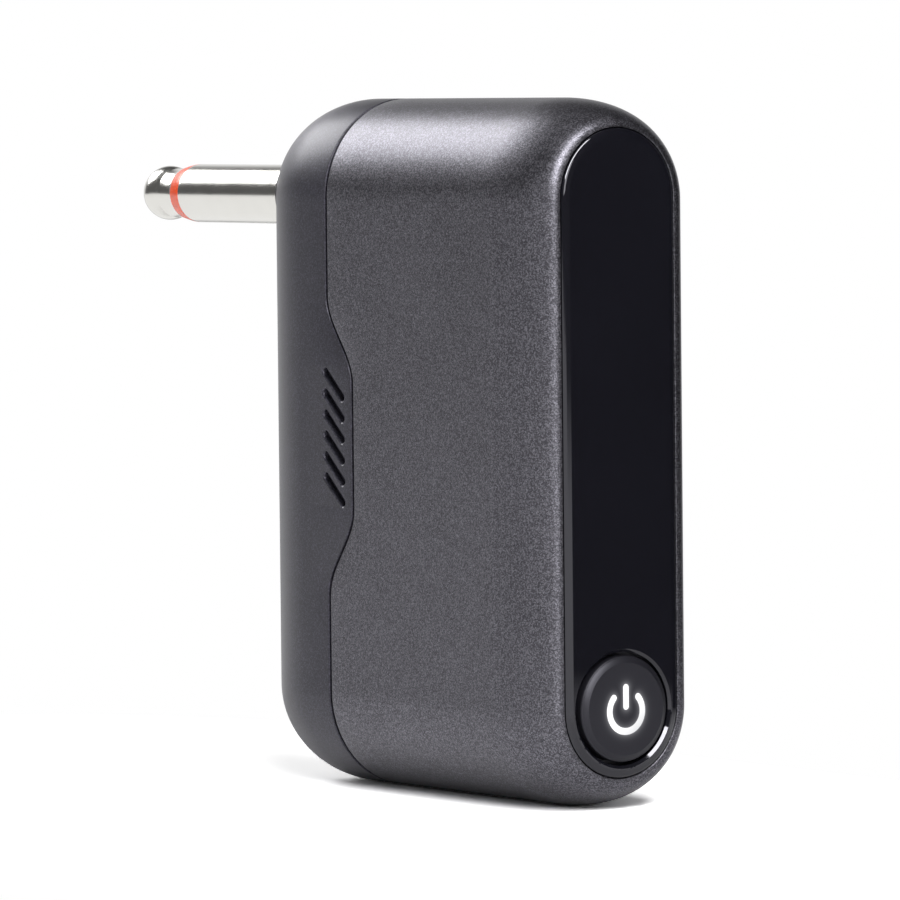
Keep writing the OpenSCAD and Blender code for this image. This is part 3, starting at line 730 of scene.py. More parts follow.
    def copy(self, name: str, move: Sequence[float]) -> "Piece":
        """A moved copy with its own mesh.

        Args:
            name: the copy's name.
            move: how far it moves, in millimetres.

        Returns:
            The copy.
        """
        twin = self.obj.copy()
        twin.data = self.obj.data.copy()
        bpy.context.collection.objects.link(twin)
        twin.location = move
        made = Piece(twin, name)
        made.settle()
        return made

    def join(self, others: Sequence["Piece"]) -> "Piece":
        """Takes other pieces into this one's mesh.

        Args:
            others: the pieces to take in.

        Returns:
            The same piece.
        """
        self.hold()
        for other in others:
            other.obj.select_set(True)
        bpy.ops.object.join()
        return self

    def smooth(self, angle: float = 30.0) -> "Piece":
        """Smooth shading, with edges kept sharp past an angle.

        Args:
            angle: the angle, in degrees.

        Returns:
            The same piece.
        """
        self.hold()
        bpy.ops.object.shade_smooth_by_angle(angle=math.radians(angle))
        return self

    def dress(self, finish: Finish, body: Body, *nodes: str) -> "Piece":
        """Gives the piece its finish, its body and the solids that it stands for.

        Args:
            finish: the finish.
            body: the body it rides on.
            nodes: the solids it replaces.

        Returns:
            The same piece.
        """
        self.obj.scale = (MM, MM, MM)
        self.settle()
        self.clear_hands()
        self.obj.data.materials.clear()
        self.obj.data.materials.append(finish.make())
        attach(self.obj, body.value)
        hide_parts(*nodes)
        LOG.info("%s: %d faces, %s", self.obj.name, len(self.obj.data.polygons), finish.name)
        return self


def quarter(r0: float, y0: float, r1: float, y1: float, depth_first: bool, steps: int) -> Profile:
    """Points of a quarter ellipse.

    Args:
        r0: radius at its start.
        y0: depth at its start.
        r1: radius at its end.
        y1: depth at its end.
        depth_first: whether it leaves along Y.
        steps: number of steps.

    Returns:
        The points, both ends included.
    """
    points = []
    for i in range(steps + 1):
        angle = math.pi / 2 * i / steps
        grow, near = math.sin(angle), 1 - math.cos(angle)
        a, b = (near, grow) if depth_first else (grow, near)
        points.append((r0 + (r1 - r0) * a, y0 + (y1 - y0) * b))
    return points


@dataclass
class Case:
    """Housing and rear cover: a round-ended case with a seam and a finger pad on each side."""

    body_r: float = 10.4
    top_z: float = -0.2
    span: float = 51.3
    sides: int = 160
    cuts: int = 128
    front_y: float = -53.9
    seam_y: float = -17.0
    rear_y: float = -1.4
    seam_gap: float = 0.28
    seam_edge: float = 0.3
    front_run: float = 8.9
    front_in: float = 3.1
    rear_run: float = 11.2
    rear_in: float = 8.0
    front_rings: tuple[float, ...] = (-43.0, -40.0, -36.0)
    seam_rings: tuple[float, ...] = (-26.0, -21.0)
    recess_r: float = 7.12
    recess_top_z: float = 0.1
    recess_span: float = 51.6
    recess_y: float = -52.4
    recess_edge: float = 0.06
    front_inner_y: float = -50.9
    cavity_r: float = 9.0
    cover_cavity_r: float = 8.6
    cover_inner_y: float = -4.4
    lip_r: float = 8.9
    lip_bore_r: float = 7.9
    lip_front_y: float = -24.4
    lip_end_y: float = -15.0
    seal_y: float = -23.4
    seal_w: float = 1.0
    seal_sink: float = 0.5
    pad_reach: float = 4.45
    pad_edge_h: float = 13.0
    pad_shoulder_h: float = 9.2
    housing_fade_y: float = -32.0
    cover_fade_y: float = -12.7
    groove_count: int = 6
    groove_pitch: float = 2.19
    groove_w: float = 0.85
    groove_run: float = 3.75
    groove_rise: float = 3.4
    groove_depth: float = 0.7
    groove_lip: float = 0.06
    groove_flares: tuple[float, ...] = (1.04, 1.08, 1.12)
    groove_flare_along: float = 0.3
    groove_past: float = 0.3
    groove_y: float = -18.275
    groove_lift: float = 0.95
    flange_hole_r: float = 6.4
    screw_hole_r: float = 0.85
    screw_head_r: float = 1.55
    screw_head_t: float = 0.9
    screw_sides: int = 24
    case_screw_z: tuple[float, float] = (-14.2, -32.45)
    boss_r: float = 2.2
    boss_x: float = -5.33
    boss_front_y: float = -13.8
    boss_z: tuple[float, float] = (-14.2, -49.3)
    boss_hole: float = 4.0
    shank_bore_r: float = 4.45
    collar_seat_r: float = 5.3
    collar_seat_y: float = -2.6
    collar_face_y: float = 0.0
    nut_room_r: float = 6.75
    nut_room_y: float = -9.0
    port_r: float = 1.78
    port_span: float = 5.68
    port_top_z: float = -35.16
    port_edge: float = 0.25
    port_mouth_y: float = -1.39
    paint: Finish = FlakePaint("gunmetal_paint", "housing_paint")
    plastic: Finish = FlakePaint(
        "cover_plastic", "cover_plastic", (0.019, 0.0180, 0.0262), (0.104, 0.099, 0.136),
        flake=0.12, grain=0.2, relief=0.018, metallic=0.8, roughness=0.52,
        coat=0.70, coat_roughness=0.36,
    )

    @property
    def mid_z(self) -> float:
        """Height of the middle of the case."""
        return self.top_z - self.span / 2

    def pad_share(self, z: float, along: float) -> float:
        """Share of the finger pad's reach.

        Args:
            z: a height, where the share is 1 along the pad's straight edge.
            along: 0 at the end of the pad's fade and 1 at the seam, held at both.

        Returns:
            The share, from 0 to 1.
        """
        away = min(max(abs(z - self.mid_z) - self.pad_edge_h / 2, 0.0), self.pad_shoulder_h)
        shoulder = (1 + math.cos(math.pi * away / self.pad_shoulder_h)) / 2
        return shoulder * min(max(along, 0.0), 1.0)

    def housing_outline(self) -> Profile:
        """Half outline of the housing, from its front over the outside to its inner wall.

        Returns:
            Radius and depth of its points, in millimetres.
        """
        end_y = self.seam_y - self.seam_gap
        flat_r = self.body_r - self.front_in
        side_y = self.front_y + self.front_run
        edge_r, edge_y = self.body_r - self.seam_edge, end_y - self.seam_edge
        inner_r = self.cavity_r - self.front_in / 2
        inner_y = self.front_inner_y + self.front_run - (self.front_inner_y - self.front_y)
        outline = quarter(flat_r, self.front_y, self.body_r, side_y, False, steps=36)
        rings = (*self.front_rings, self.housing_fade_y, *self.seam_rings)
        outline += [(self.body_r, y) for y in rings]
        outline += quarter(self.body_r, edge_y, edge_r, end_y, True, steps=5)
        outline += [(self.cavity_r, end_y), (self.cavity_r, self.housing_fade_y)]
        back = quarter(inner_r, self.front_inner_y, self.cavity_r, inner_y, False, steps=10)
        return outline + back[::-1]

    def cover_outline(self) -> Profile:
        """Half outline of the rear cover, from its rear face over the outside to its inner wall.

        Returns:
            Radius and depth of its points, in millimetres.
        """
        side_y = self.rear_y - self.rear_run
        flat_r = self.body_r - self.rear_in
        seal_r, seal_end_y = self.lip_r - self.seal_sink, self.seal_y + self.seal_w
        edge_r, edge_y = self.body_r - self.seam_edge / 2, self.seam_y + self.seam_edge / 2
        inner_y = self.cover_inner_y - (self.rear_run - (self.rear_y - self.cover_inner_y))
        inner_in = self.rear_in - (self.body_r - self.cover_cavity_r) / 2
        inner_r = self.cover_cavity_r - inner_in
        dome = quarter(self.body_r, side_y, flat_r, self.rear_y, True, steps=44)
        edge = quarter(edge_r, self.seam_y, self.body_r, edge_y, False, steps=4)
        outline = dome[::-1] + edge[::-1]
        outline += [(self.lip_r, self.seam_y), (self.lip_r, seal_end_y), (seal_r, seal_end_y)]
        outline += [(seal_r, self.seal_y), (self.lip_r, self.seal_y), (self.lip_r, self.lip_front_y)]
        outline += [(self.lip_bore_r, self.lip_front_y), (self.lip_bore_r, self.lip_end_y)]
        return outline + quarter(
            self.cover_cavity_r, inner_y, inner_r, self.cover_inner_y, True, steps=12
        )

    def shell(self, name: str, outline: Profile) -> Piece:
        """A round-ended shell of the case's height.

        Args:
            name: the piece's name.
            outline: its half outline.

        Returns:
            The new piece.
        """
        return Piece.turned(name, outline, self.top_z, self.sides).stretch(
            self.top_z, self.span, self.cuts
        )

    def housing(self) -> Piece:
        """The front shell, with its panel recess and the notches for the finger pads.

        Returns:
            The dressed piece.
        """
        piece = self.shell("housing_shell", self.housing_outline())
        fade = self.seam_y - self.seam_gap - 2 * self.seam_edge - self.housing_fade_y

        def share(point: Vector) -> float:
            """Full shift at the seam, none ahead of the fade.

            Args:
                point: a point of the shell, in millimetres.

            Returns:
                Its share, from 0 to 1.
            """
            if abs(point.x) < self.cavity_r - SLACK:
                return 0.0
            return self.pad_share(point.z, (point.y - self.housing_fade_y) / fade)

        piece.push(share, -self.pad_reach)
        inside_y, head_y = self.front_inner_y + PAST, self.recess_y + self.screw_head_t
        edge_r, ahead = self.recess_r + self.recess_edge, PAST / 2
        button_z = self.recess_top_z - self.recess_span
        recess = [(edge_r + ahead, self.front_y - ahead), (edge_r, self.front_y)]
        recess += [(self.recess_r, self.front_y + self.recess_edge), (self.recess_r, self.recess_y)]
        hole = [(self.screw_head_r, self.recess_y - ahead), (self.screw_head_r, head_y)]
        hole += [(self.screw_hole_r, head_y), (self.screw_hole_r, inside_y)]
        opening = Piece.turned("recess", recess, self.recess_top_z, self.sides)
        piece.cut(
            opening.stretch(self.recess_top_z, self.recess_span),
            Piece.rod("button_hole", self.flange_hole_r, self.recess_y - PAST, inside_y, button_z),
            *[Piece.turned("screw_hole", hole, z, self.screw_sides) for z in self.case_screw_z],
        )
        return piece.smooth().dress(self.paint, Body.CASE, "housing")

    def groove(self) -> Piece:
        """One groove's cutter: a capsule with a slightly flared mouth, on the -X side.

        Returns:
            The cutter.
        """
        run, rise = self.groove_run - self.groove_w, self.groove_rise - self.groove_w
        Piece.clear_hands()
        bpy.ops.mesh.primitive_plane_add(size=1, rotation=(0, math.pi / 2, 0))
        piece = Piece(bpy.context.object, "groove_tool")
        piece.obj.scale = (self.groove_w, math.hypot(run, rise) + self.groove_w, 1)
        piece.settle()
        piece.edit_all()
        bpy.ops.mesh.bevel(
            offset=self.groove_w / 2, segments=10, affect="VERTICES", clamp_overlap=True
        )
        bpy.ops.mesh.select_all(action="SELECT")
        bpy.ops.mesh.remove_doubles(threshold=WELD)
        bpy.ops.mesh.select_all(action="SELECT")
        straight = self.groove_depth - len(self.groove_flares) * self.groove_lip
        lips = [(self.groove_lip, flare) for flare in self.groove_flares]
        for step, flare in ((straight, 1.0), *lips, (self.groove_past, 1.0)):
            piece.extrude((-step, 0, 0))
            bpy.ops.transform.resize(value=(1, 1 + (flare - 1) * self.groove_flare_along, flare))
        piece.weld()
        piece.obj.rotation_euler = (math.atan2(rise, run), 0, 0)
        floor_x = -self.body_r + self.groove_depth
        piece.obj.location = (floor_x, self.groove_y, self.mid_z + self.groove_lift)
        piece.settle()
        return piece

    def grooves(self) -> list[Piece]:
        """All grooves' cutters, one row on each side.

        Returns:
            The near row and the far one.
        """
        first = self.groove()
        row = []
        for i in range(self.groove_count):
            lift = (i - (self.groove_count - 1) / 2) * self.groove_pitch
            row.append(first.copy("groove_near", (0, 0, lift)))
        bpy.data.objects.remove(first.obj, do_unlink=True)
        near = row[0].join(row[1:])
        far = near.copy("groove_far", (0, 0, 0))
        far.obj.scale = (-1, 1, 1)
        far.settle()
        far.edit()
        return [near, far.weld()]

    def cover(self) -> Piece:
        """The rear dome with its lip, finger pads, grooves, plug seat and charging port.

        Returns:
            The dressed piece.
        """
        piece = self.shell("rear_cover_shell", self.cover_outline())
        fade = self.cover_fade_y - (self.seam_y + self.seam_edge)

        def share(point: Vector) -> float:
            """Full shift at the seam, none behind the fade or ahead of the lip's foot.

            Args:
                point: a point of the shell, in millimetres.

            Returns:
                Its share, from 0 to 1.
            """
            if abs(point.x) < self.lip_r - SLACK or point.y < self.seam_y - SLACK:
                return 0.0
            return self.pad_share(point.z, (self.cover_fade_y - point.y) / fade)

        piece.push(share, -self.pad_reach)
        foot_y, hole_y = self.boss_front_y, self.boss_front_y + self.boss_hole
        for z in self.boss_z:
            boss = Piece.rod("boss", self.boss_r, foot_y, self.cover_inner_y, z, sides=32)
            hole = Piece.rod("boss_hole", self.screw_hole_r, foot_y - PAST, hole_y, z, self.screw_sides)
            for tool in (boss, hole):
                tool.obj.location.x = self.boss_x
                tool.settle()
            piece.cut(boss, action=Tool.JOIN).cut(hole)
        past_y = self.collar_face_y + PAST
        mouth_r, mouth_y = self.port_r + self.port_edge, self.port_mouth_y
        port = [(self.port_r, self.cover_inner_y - PAST), (self.port_r, mouth_y - self.port_edge)]
        port += [(mouth_r, mouth_y), (mouth_r, past_y)]
        port_hole = Piece.turned("port_hole", port, self.port_top_z, sides=48)
        piece.cut(
            Piece.rod("nut_room", self.nut_room_r, self.nut_room_y, self.cover_inner_y),
            Piece.rod("shank_bore", self.shank_bore_r, self.nut_room_y, past_y),
            Piece.rod("collar_seat", self.collar_seat_r, self.collar_seat_y, past_y, sides=96),
            port_hole.stretch(self.port_top_z, self.port_span, cuts=0),
            *self.grooves(),
        )
        return piece.smooth().dress(self.plastic, Body.CASE, "rear_cover")

    def build(self) -> list[Piece]:
        """Both shells."""
        return [self.housing(), self.cover()]


@dataclass
class Front:
    """Front panel, power button and the lit symbol in it."""

    panel_r: float = 7.0
    top_z: float = 0.1
    span: float = 51.6
    sides: int = 160
    face_y: float = -54.2
    back_y: float = -52.6
    bevel_in: float = 0.76
    bevel_tilt: float = 16.0
    bevel_end_tilt: float = 52.0
    bevel_round: float = 0.6
    bevel_steps: int = 10
    bevel_hold: float = 0.04
    button_r: float = 5.4
    button_face_y: float = -54.65
    button_edge: float = 0.72
    rim_in: float = 0.2
    rim_fall: float = 0.32
    rim_swell: float = 0.25
    rim_steps: int = 6
    hole_r: float = 5.78
    hole_chamfer: float = 0.3
    hole_chamfer_t: float = 0.21
    flange_r: float = 6.15
    flange_front_y: float = -52.55
    flange_back_y: float = -51.75
    post_r: float = 1.1
    post_end_y: float = -50.45
    guide_t: float = 0.8
    guide_fit: float = 0.02
    symbol: PowerSymbol = PowerSymbol()
    gloss: Finish = GlossPlate("panel_gloss", "panel_gloss")
    cap_plastic: Finish = CapPlastic("button_plastic", "button_plastic")
    guide: Finish = LitGuide("light_guide", "light_guide")

    @property
    def button_z(self) -> float:
        """Height of the button's axis."""
        return self.top_z - self.span

    def panel(self) -> Piece:
        """The round-ended plate with its soft bevel and the button's hole.

        Returns:
            The dressed piece.
        """
        flat_r, ahead = self.panel_r - self.bevel_in, PAST / 2
        turn = (self.bevel_end_tilt - self.bevel_tilt) / self.bevel_steps
        tilts = [math.radians(self.bevel_tilt + i * turn) for i in range(self.bevel_steps + 1)]
        start, end = tilts[0], tilts[-1]
        inner_r = self.panel_r - self.bevel_round * (math.sin(end) - math.sin(start))
        inner_y = self.face_y + (inner_r - flat_r) * math.tan(start)
        outline = [(flat_r - HOLD, self.face_y), (flat_r, self.face_y)]
        outline += [(inner_r - self.bevel_hold, inner_y - self.bevel_hold * math.tan(start))]
        for tilt in tilts:
            out = self.bevel_round * (math.sin(tilt) - math.sin(start))
            fall = self.bevel_round * (math.cos(start) - math.cos(tilt))
            outline.append((inner_r + out, inner_y + fall))
        outline += [(self.panel_r, self.back_y)]
        piece = Piece.turned("front_panel_plate", outline, self.top_z, self.sides)
        piece.stretch(self.top_z, self.span, cuts=6)
        mouth_r = self.hole_r + self.hole_chamfer
        hole = [(mouth_r + ahead, self.face_y - ahead), (mouth_r, self.face_y)]
        hole += [(self.hole_r, self.face_y + self.hole_chamfer_t), (self.hole_r, self.back_y + PAST)]
        piece.cut(Piece.turned("button_opening", hole, self.button_z)).smooth(angle=15)
        return piece.dress(self.gloss, Body.CASE, "front_panel")

    def strokes(self, name: str, margin: float = 0.0, overrun: float = 0.0) -> Piece:
        """The power symbol as a solid set in the cap.

        Args:
            name: the piece's name.
            margin: growth all round and in depth, in millimetres.
            overrun: how far it stands ahead of the cap's face.

        Returns:
            The symbol, ring and bar in one mesh.
        """
        mark = self.symbol
        width, outer_r = mark.stroke + 2 * margin, mark.outer_r + margin
        centre = Vector((0, self.button_face_y - overrun, mark.centre_z))
        ring = Piece.circle(name, outer_r, centre, sides=144)
        shrink = (outer_r - width) / outer_r
        ring.extrude()
        bpy.ops.transform.resize(value=(shrink, 1, shrink), center_override=centre)

        def in_opening(face: bmesh.types.BMFace) -> bool:
            """Whether a face lies in the ring's opening."""
            middle = face.calc_center_median()
            return abs(math.atan2(middle.x, middle.z - centre.z)) < mark.end_angle

        def is_end(edge: bmesh.types.BMEdge) -> bool:
            """Whether an edge is an open end of the ring."""
            return edge.is_boundary and edge.calc_length() > mark.stroke * 0.9

        ring.pick(Element.FACE, in_opening)
        bpy.ops.mesh.delete(type="FACE")
        for side in (-1, 1):
            found = ring.pick(Element.EDGE, lambda edge: is_end(edge) and edge.verts[0].co.x * side > 0)
            assert found == 1
            self.round_end(ring, width)
        ring.rest()
        bpy.ops.mesh.primitive_plane_add(size=1, rotation=(math.pi / 2, 0, 0))
        bar = Piece(bpy.context.object, name + "_bar")
        length = mark.bar_h - mark.stroke
        middle = mark.centre_z + mark.bar_top - mark.bar_h / 2
        bar.obj.scale = (width, length, 1)
        bar.obj.location = (0, centre.y, middle)
        bar.settle()
        bar.edit()
        near_end = length * 0.49
        for side in (-1, 1):
            bar.pick(Element.EDGE, lambda edge: all((v.co.z - middle) * side > near_end for v in edge.verts))
            self.round_end(bar, width)
        bar.rest()
        ring.join([bar])
        ring.edit_all()
        bpy.ops.mesh.normals_make_consistent(inside=False)
        ring.extrude((0, self.guide_t + margin + overrun, 0))
        return ring.weld()

    @staticmethod
    def round_end(piece: Piece, width: float, steps: int = 7) -> None:
        """Draws the selected end edge of a flat stroke out to a half circle.

        Args:
            piece: the stroke, in edit mode.
            width: the stroke's width, in millimetres.
            steps: steps in the half circle's quarter.
        """
        mesh = bmesh.from_edit_mesh(piece.obj.data)
        edge = next(element for element in mesh.edges if element.select)
        inner = edge.link_faces[0].calc_center_median()
        middle = (edge.verts[0].co + edge.verts[1].co) / 2
        across = (edge.verts[1].co - edge.verts[0].co).normalized()
        out = middle - inner
        out = (out - across * out.dot(across)).normalized()
        size, gone, narrowest = 1.0, 0.0, 0.02
        for i in range(1, steps + 1):
            angle = math.pi / 2 * i / steps
            far, wide = math.sin(angle) * width / 2, max(math.cos(angle), narrowest)
            piece.extrude(out * (far - gone))
            bpy.ops.transform.resize(value=(wide / size,) * 3, center_override=middle + out * far)
            size, gone = wide, far

    def button(self) -> Piece:
        """The cap with its rounded edge, its flange and post, and the pocket for the symbol.

        Returns:
            The dressed piece.
        """
        flat_r, steps = self.button_r - self.button_edge, self.rim_steps
        rim_r, rim_y = self.button_r - self.rim_in, self.button_face_y + self.rim_fall
        outline = [(flat_r - HOLD, self.button_face_y)]
        for i in range(steps + 1):
            share = i / steps
            fall = share * (1 - self.rim_swell) + share * share * self.rim_swell
            along = (rim_r - flat_r) * share
            outline.append((flat_r + along, self.button_face_y + (rim_y - self.button_face_y) * fall))
        outline += quarter(rim_r, rim_y, self.button_r, rim_y + self.rim_fall, False, steps=8)[1:]
        outline += [(self.button_r, self.flange_front_y), (self.flange_r, self.flange_front_y)]
        outline += [(self.flange_r, self.flange_back_y), (self.post_r, self.flange_back_y)]
        outline += [(self.post_r, self.post_end_y)]
        piece = Piece.turned("power_button_cap", outline, self.button_z)
        piece.cut(self.strokes("symbol_pocket", self.guide_fit, overrun=0.3)).smooth(angle=18)
        return piece.dress(self.cap_plastic, Body.BUTTON, "power_button")

    def icon(self) -> Piece:
        """The lit power symbol, flush with the cap's face."""
        piece = self.strokes("power_symbol_guide").smooth()
        return piece.dress(self.guide, Body.BUTTON, "power_icon")

    def build(self) -> list[Piece]:
        """Panel, button and symbol."""
        return [self.panel(), self.button(), self.icon()]


@dataclass
class Plug:
    """The 6.35 mm plug: collar, sleeve, insulator and tip."""

    plug_r: float = 3.175
    bore_r: float = 2.2
    sleeve_len: float = 21.7
    sleeve_edge: float = 0.06
    sleeve_rings: tuple[float, ...] = (0.98, 0.75, 0.5, 0.25, 0.02)
    insulator_len: float = 1.9
    insulator_end_r: float = 2.9
    insulator_bore_r: float = 1.45
    insulator_swell: float = 1.25
    insulator_steps: int = 10
    edge: float = 0.03
    ball_r: float = 2.97
    ball_y: float = 27.83
    flare_r: float = 2.85
    neck_r: float = 2.66
    neck_y: float = 25.2
    ball_back: float = 3.4
    ball_steps: int = 24
    waist_soft: float = 0.08
    rod_r: float = 1.4
    rod_back_y: float = -10.8
    rivet_r: float = 1.9
    rivet_end_y: float = -12.0
    shank_r: float = 4.4
    shank_end_y: float = -9.2
    collar_r: float = 5.2
    collar_bore_r: float = 4.45
    collar_back_y: float = -2.6
    collar_edge: float = 0.4
    nickel: Finish = PlatedMetal("nickel_plate", "nickel")
    orange: Finish = InsulatorPlastic("orange_insulator", "orange_insulator")
    dark_metal: Finish = PlatedMetal(
        "collar_metal", "collar_metal", (0.07, 0.07, 0.078), (0.11, 0.11, 0.12),
        roughness=0.3, line=0.08, relief=0.002,
    )

    def sleeve(self) -> Piece:
        """The plated sleeve and its shank.

        Returns:
            The dressed piece.
        """
        end, edge = self.sleeve_len, self.sleeve_edge
        outline = [(self.bore_r, end), (self.plug_r - edge, end)]
        outline += quarter(self.plug_r - edge, end, self.plug_r, end - edge, False, steps=4)[1:]
        outline += [(self.plug_r, end * share) for share in self.sleeve_rings]
        outline += [(self.plug_r, 0.0), (self.shank_r, 0.0), (self.shank_r, self.shank_end_y)]
        outline += [(self.bore_r, self.shank_end_y), (self.bore_r, end)]
        piece = Piece.turned("plug_sleeve_tube", outline).smooth()
        return piece.dress(self.nickel, Body.CASE, "plug_sleeve")

    def insulator(self) -> Piece:
        """The tapered, slightly swollen ring between sleeve and tip.

        Returns:
            The dressed piece.
        """
        start, edge, steps = self.sleeve_len, self.edge, self.insulator_steps
        outline = [(self.insulator_bore_r, start), (self.plug_r - edge, start)]
        for i in range(steps + 1):
            fall = (self.plug_r - self.insulator_end_r) * (i / steps) ** self.insulator_swell
            along = edge + (self.insulator_len - 2 * edge) * i / steps
            outline.append((self.plug_r - fall, start + along))
        end = start + self.insulator_len
        outline += [(self.insulator_end_r - edge, end), (self.insulator_bore_r, end)]
        outline += [(self.insulator_bore_r, start)]
        piece = Piece.turned("plug_insulator_ring", outline).smooth()
        return piece.dress(self.orange, Body.CASE, "plug_insulator")

    def tip(self) -> Piece:
        """The ball with its flared waist and the rod through the plug.

        Returns:
            The dressed piece.
        """
        foot_y, edge = self.sleeve_len + self.insulator_len, self.edge
        outline = [(self.rivet_r, self.rivet_end_y), (self.rivet_r, self.rod_back_y)]
        outline += [(self.rod_r, self.rod_back_y), (self.rod_r, foot_y), (self.flare_r - edge, foot_y)]
        outline += quarter(self.flare_r, foot_y + edge, self.neck_r, self.neck_y, False, steps=10)
        lean, steps = math.acos(self.neck_r / self.ball_r), self.ball_steps
        back = self.ball_back
        outline.append((self.neck_r, self.ball_y - back * math.sin(lean) - self.waist_soft))
        for i in range(1, steps + 1):
            turn = lean * (1 - i / steps)
            outline.append((self.ball_r * math.cos(turn), self.ball_y - back * math.sin(turn)))
        end_y = self.ball_y + self.ball_r
        outline += quarter(self.ball_r, self.ball_y, 0.0, end_y, True, steps=32)[1:-1]
        piece = Piece.turned("plug_tip_ball", outline).smooth()
        return piece.dress(self.nickel, Body.CASE, "plug_tip")

    def collar(self) -> Piece:
        """The low ring round the root of the plug.

        Returns:
            The dressed piece.
        """
        back, edge = self.collar_back_y, self.collar_edge
        outline = [(self.collar_bore_r, back), (self.collar_r - HOLD, back)]
        outline += [(self.collar_r, back + HOLD)]
        outline += quarter(self.collar_r, -edge, self.collar_r - edge, 0, True, steps=8)
        outline += [(self.collar_bore_r, 0), (self.collar_bore_r, back)]
        piece = Piece.turned("plug_collar_ring", outline).smooth()
        return piece.dress(self.dark_metal, Body.CASE, "plug_collar")

    def build(self) -> list[Piece]:
        """All four pieces."""
        return [self.sleeve(), self.insulator(), self.tip(), self.collar()]


@dataclass
class ChargingPort:
    """The charging receptacle's shell and its contact tongue."""

    shell_r: float = 1.63
    wall: float = 0.3
    span: float = 5.68
    top_z: float = -35.16
    mouth_y: float = -2.0
    length: float = 7.4
    back_t: float = 0.7
    back_edge: float = 0.1
    tongue_t: float = 0.7
    tongue_w: float = 6.7
    tongue_edge: float = 0.12
    steel: Finish = PlatedMetal(
        "shell_steel", "steel", (0.5, 0.5, 0.5), (0.6, 0.6, 0.59),
        roughness=0.28, line=0.12, relief=0.003,
    )
    black: Finish = MouldedPlastic(
        "tongue_plastic", "chip", (0.01, 0.01, 0.011), (0.018, 0.018, 0.02)
    )

    def shell(self) -> Piece:
        """The drawn steel shell with a rolled mouth.

        Returns:
            The dressed piece.
        """
        back_y, edge = self.mouth_y - self.length, self.back_edge
        inner_r, half = self.shell_r - self.wall, self.wall / 2
        roll_r, roll_y = inner_r + half, self.mouth_y - half
        outline = [(self.shell_r - edge, back_y), (self.shell_r, back_y + edge)]
        outline += quarter(self.shell_r, roll_y, roll_r, self.mouth_y, True, steps=5)
        outline += quarter(roll_r, self.mouth_y, inner_r, roll_y, False, steps=5)[1:]
        outline += [(inner_r, back_y + self.back_t)]
        piece = Piece.turned("charging_socket_shell", outline, self.top_z, sides=64)
        piece.stretch(self.top_z, self.span, cuts=2).smooth()
        return piece.dress(self.steel, Body.CASE, "charging_socket")

    def tongue(self) -> Piece:
        """The contact tongue with bevelled edges.

        Returns:
            The dressed piece.
        """
        back_y = self.mouth_y - self.length + self.back_t
        front_y = self.mouth_y - self.tongue_t
        mid_z = self.top_z - self.span / 2
        Piece.clear_hands()
        bpy.ops.mesh.primitive_cube_add(size=1, location=(0, (back_y + front_y) / 2, mid_z))
        piece = Piece(bpy.context.object, "socket_tongue_blade")
        piece.obj.scale = (self.tongue_t, front_y - back_y, self.tongue_w)
        piece.settle()
        piece.edit_all()
        bpy.ops.mesh.bevel(offset=self.tongue_edge, segments=3, affect="EDGES")
        piece.weld().smooth(angle=40)
        return piece.dress(self.black, Body.CASE, "socket_tongue")

    def build(self) -> list[Piece]:
        """Shell and tongue."""
        return [self.shell(), self.tongue()]


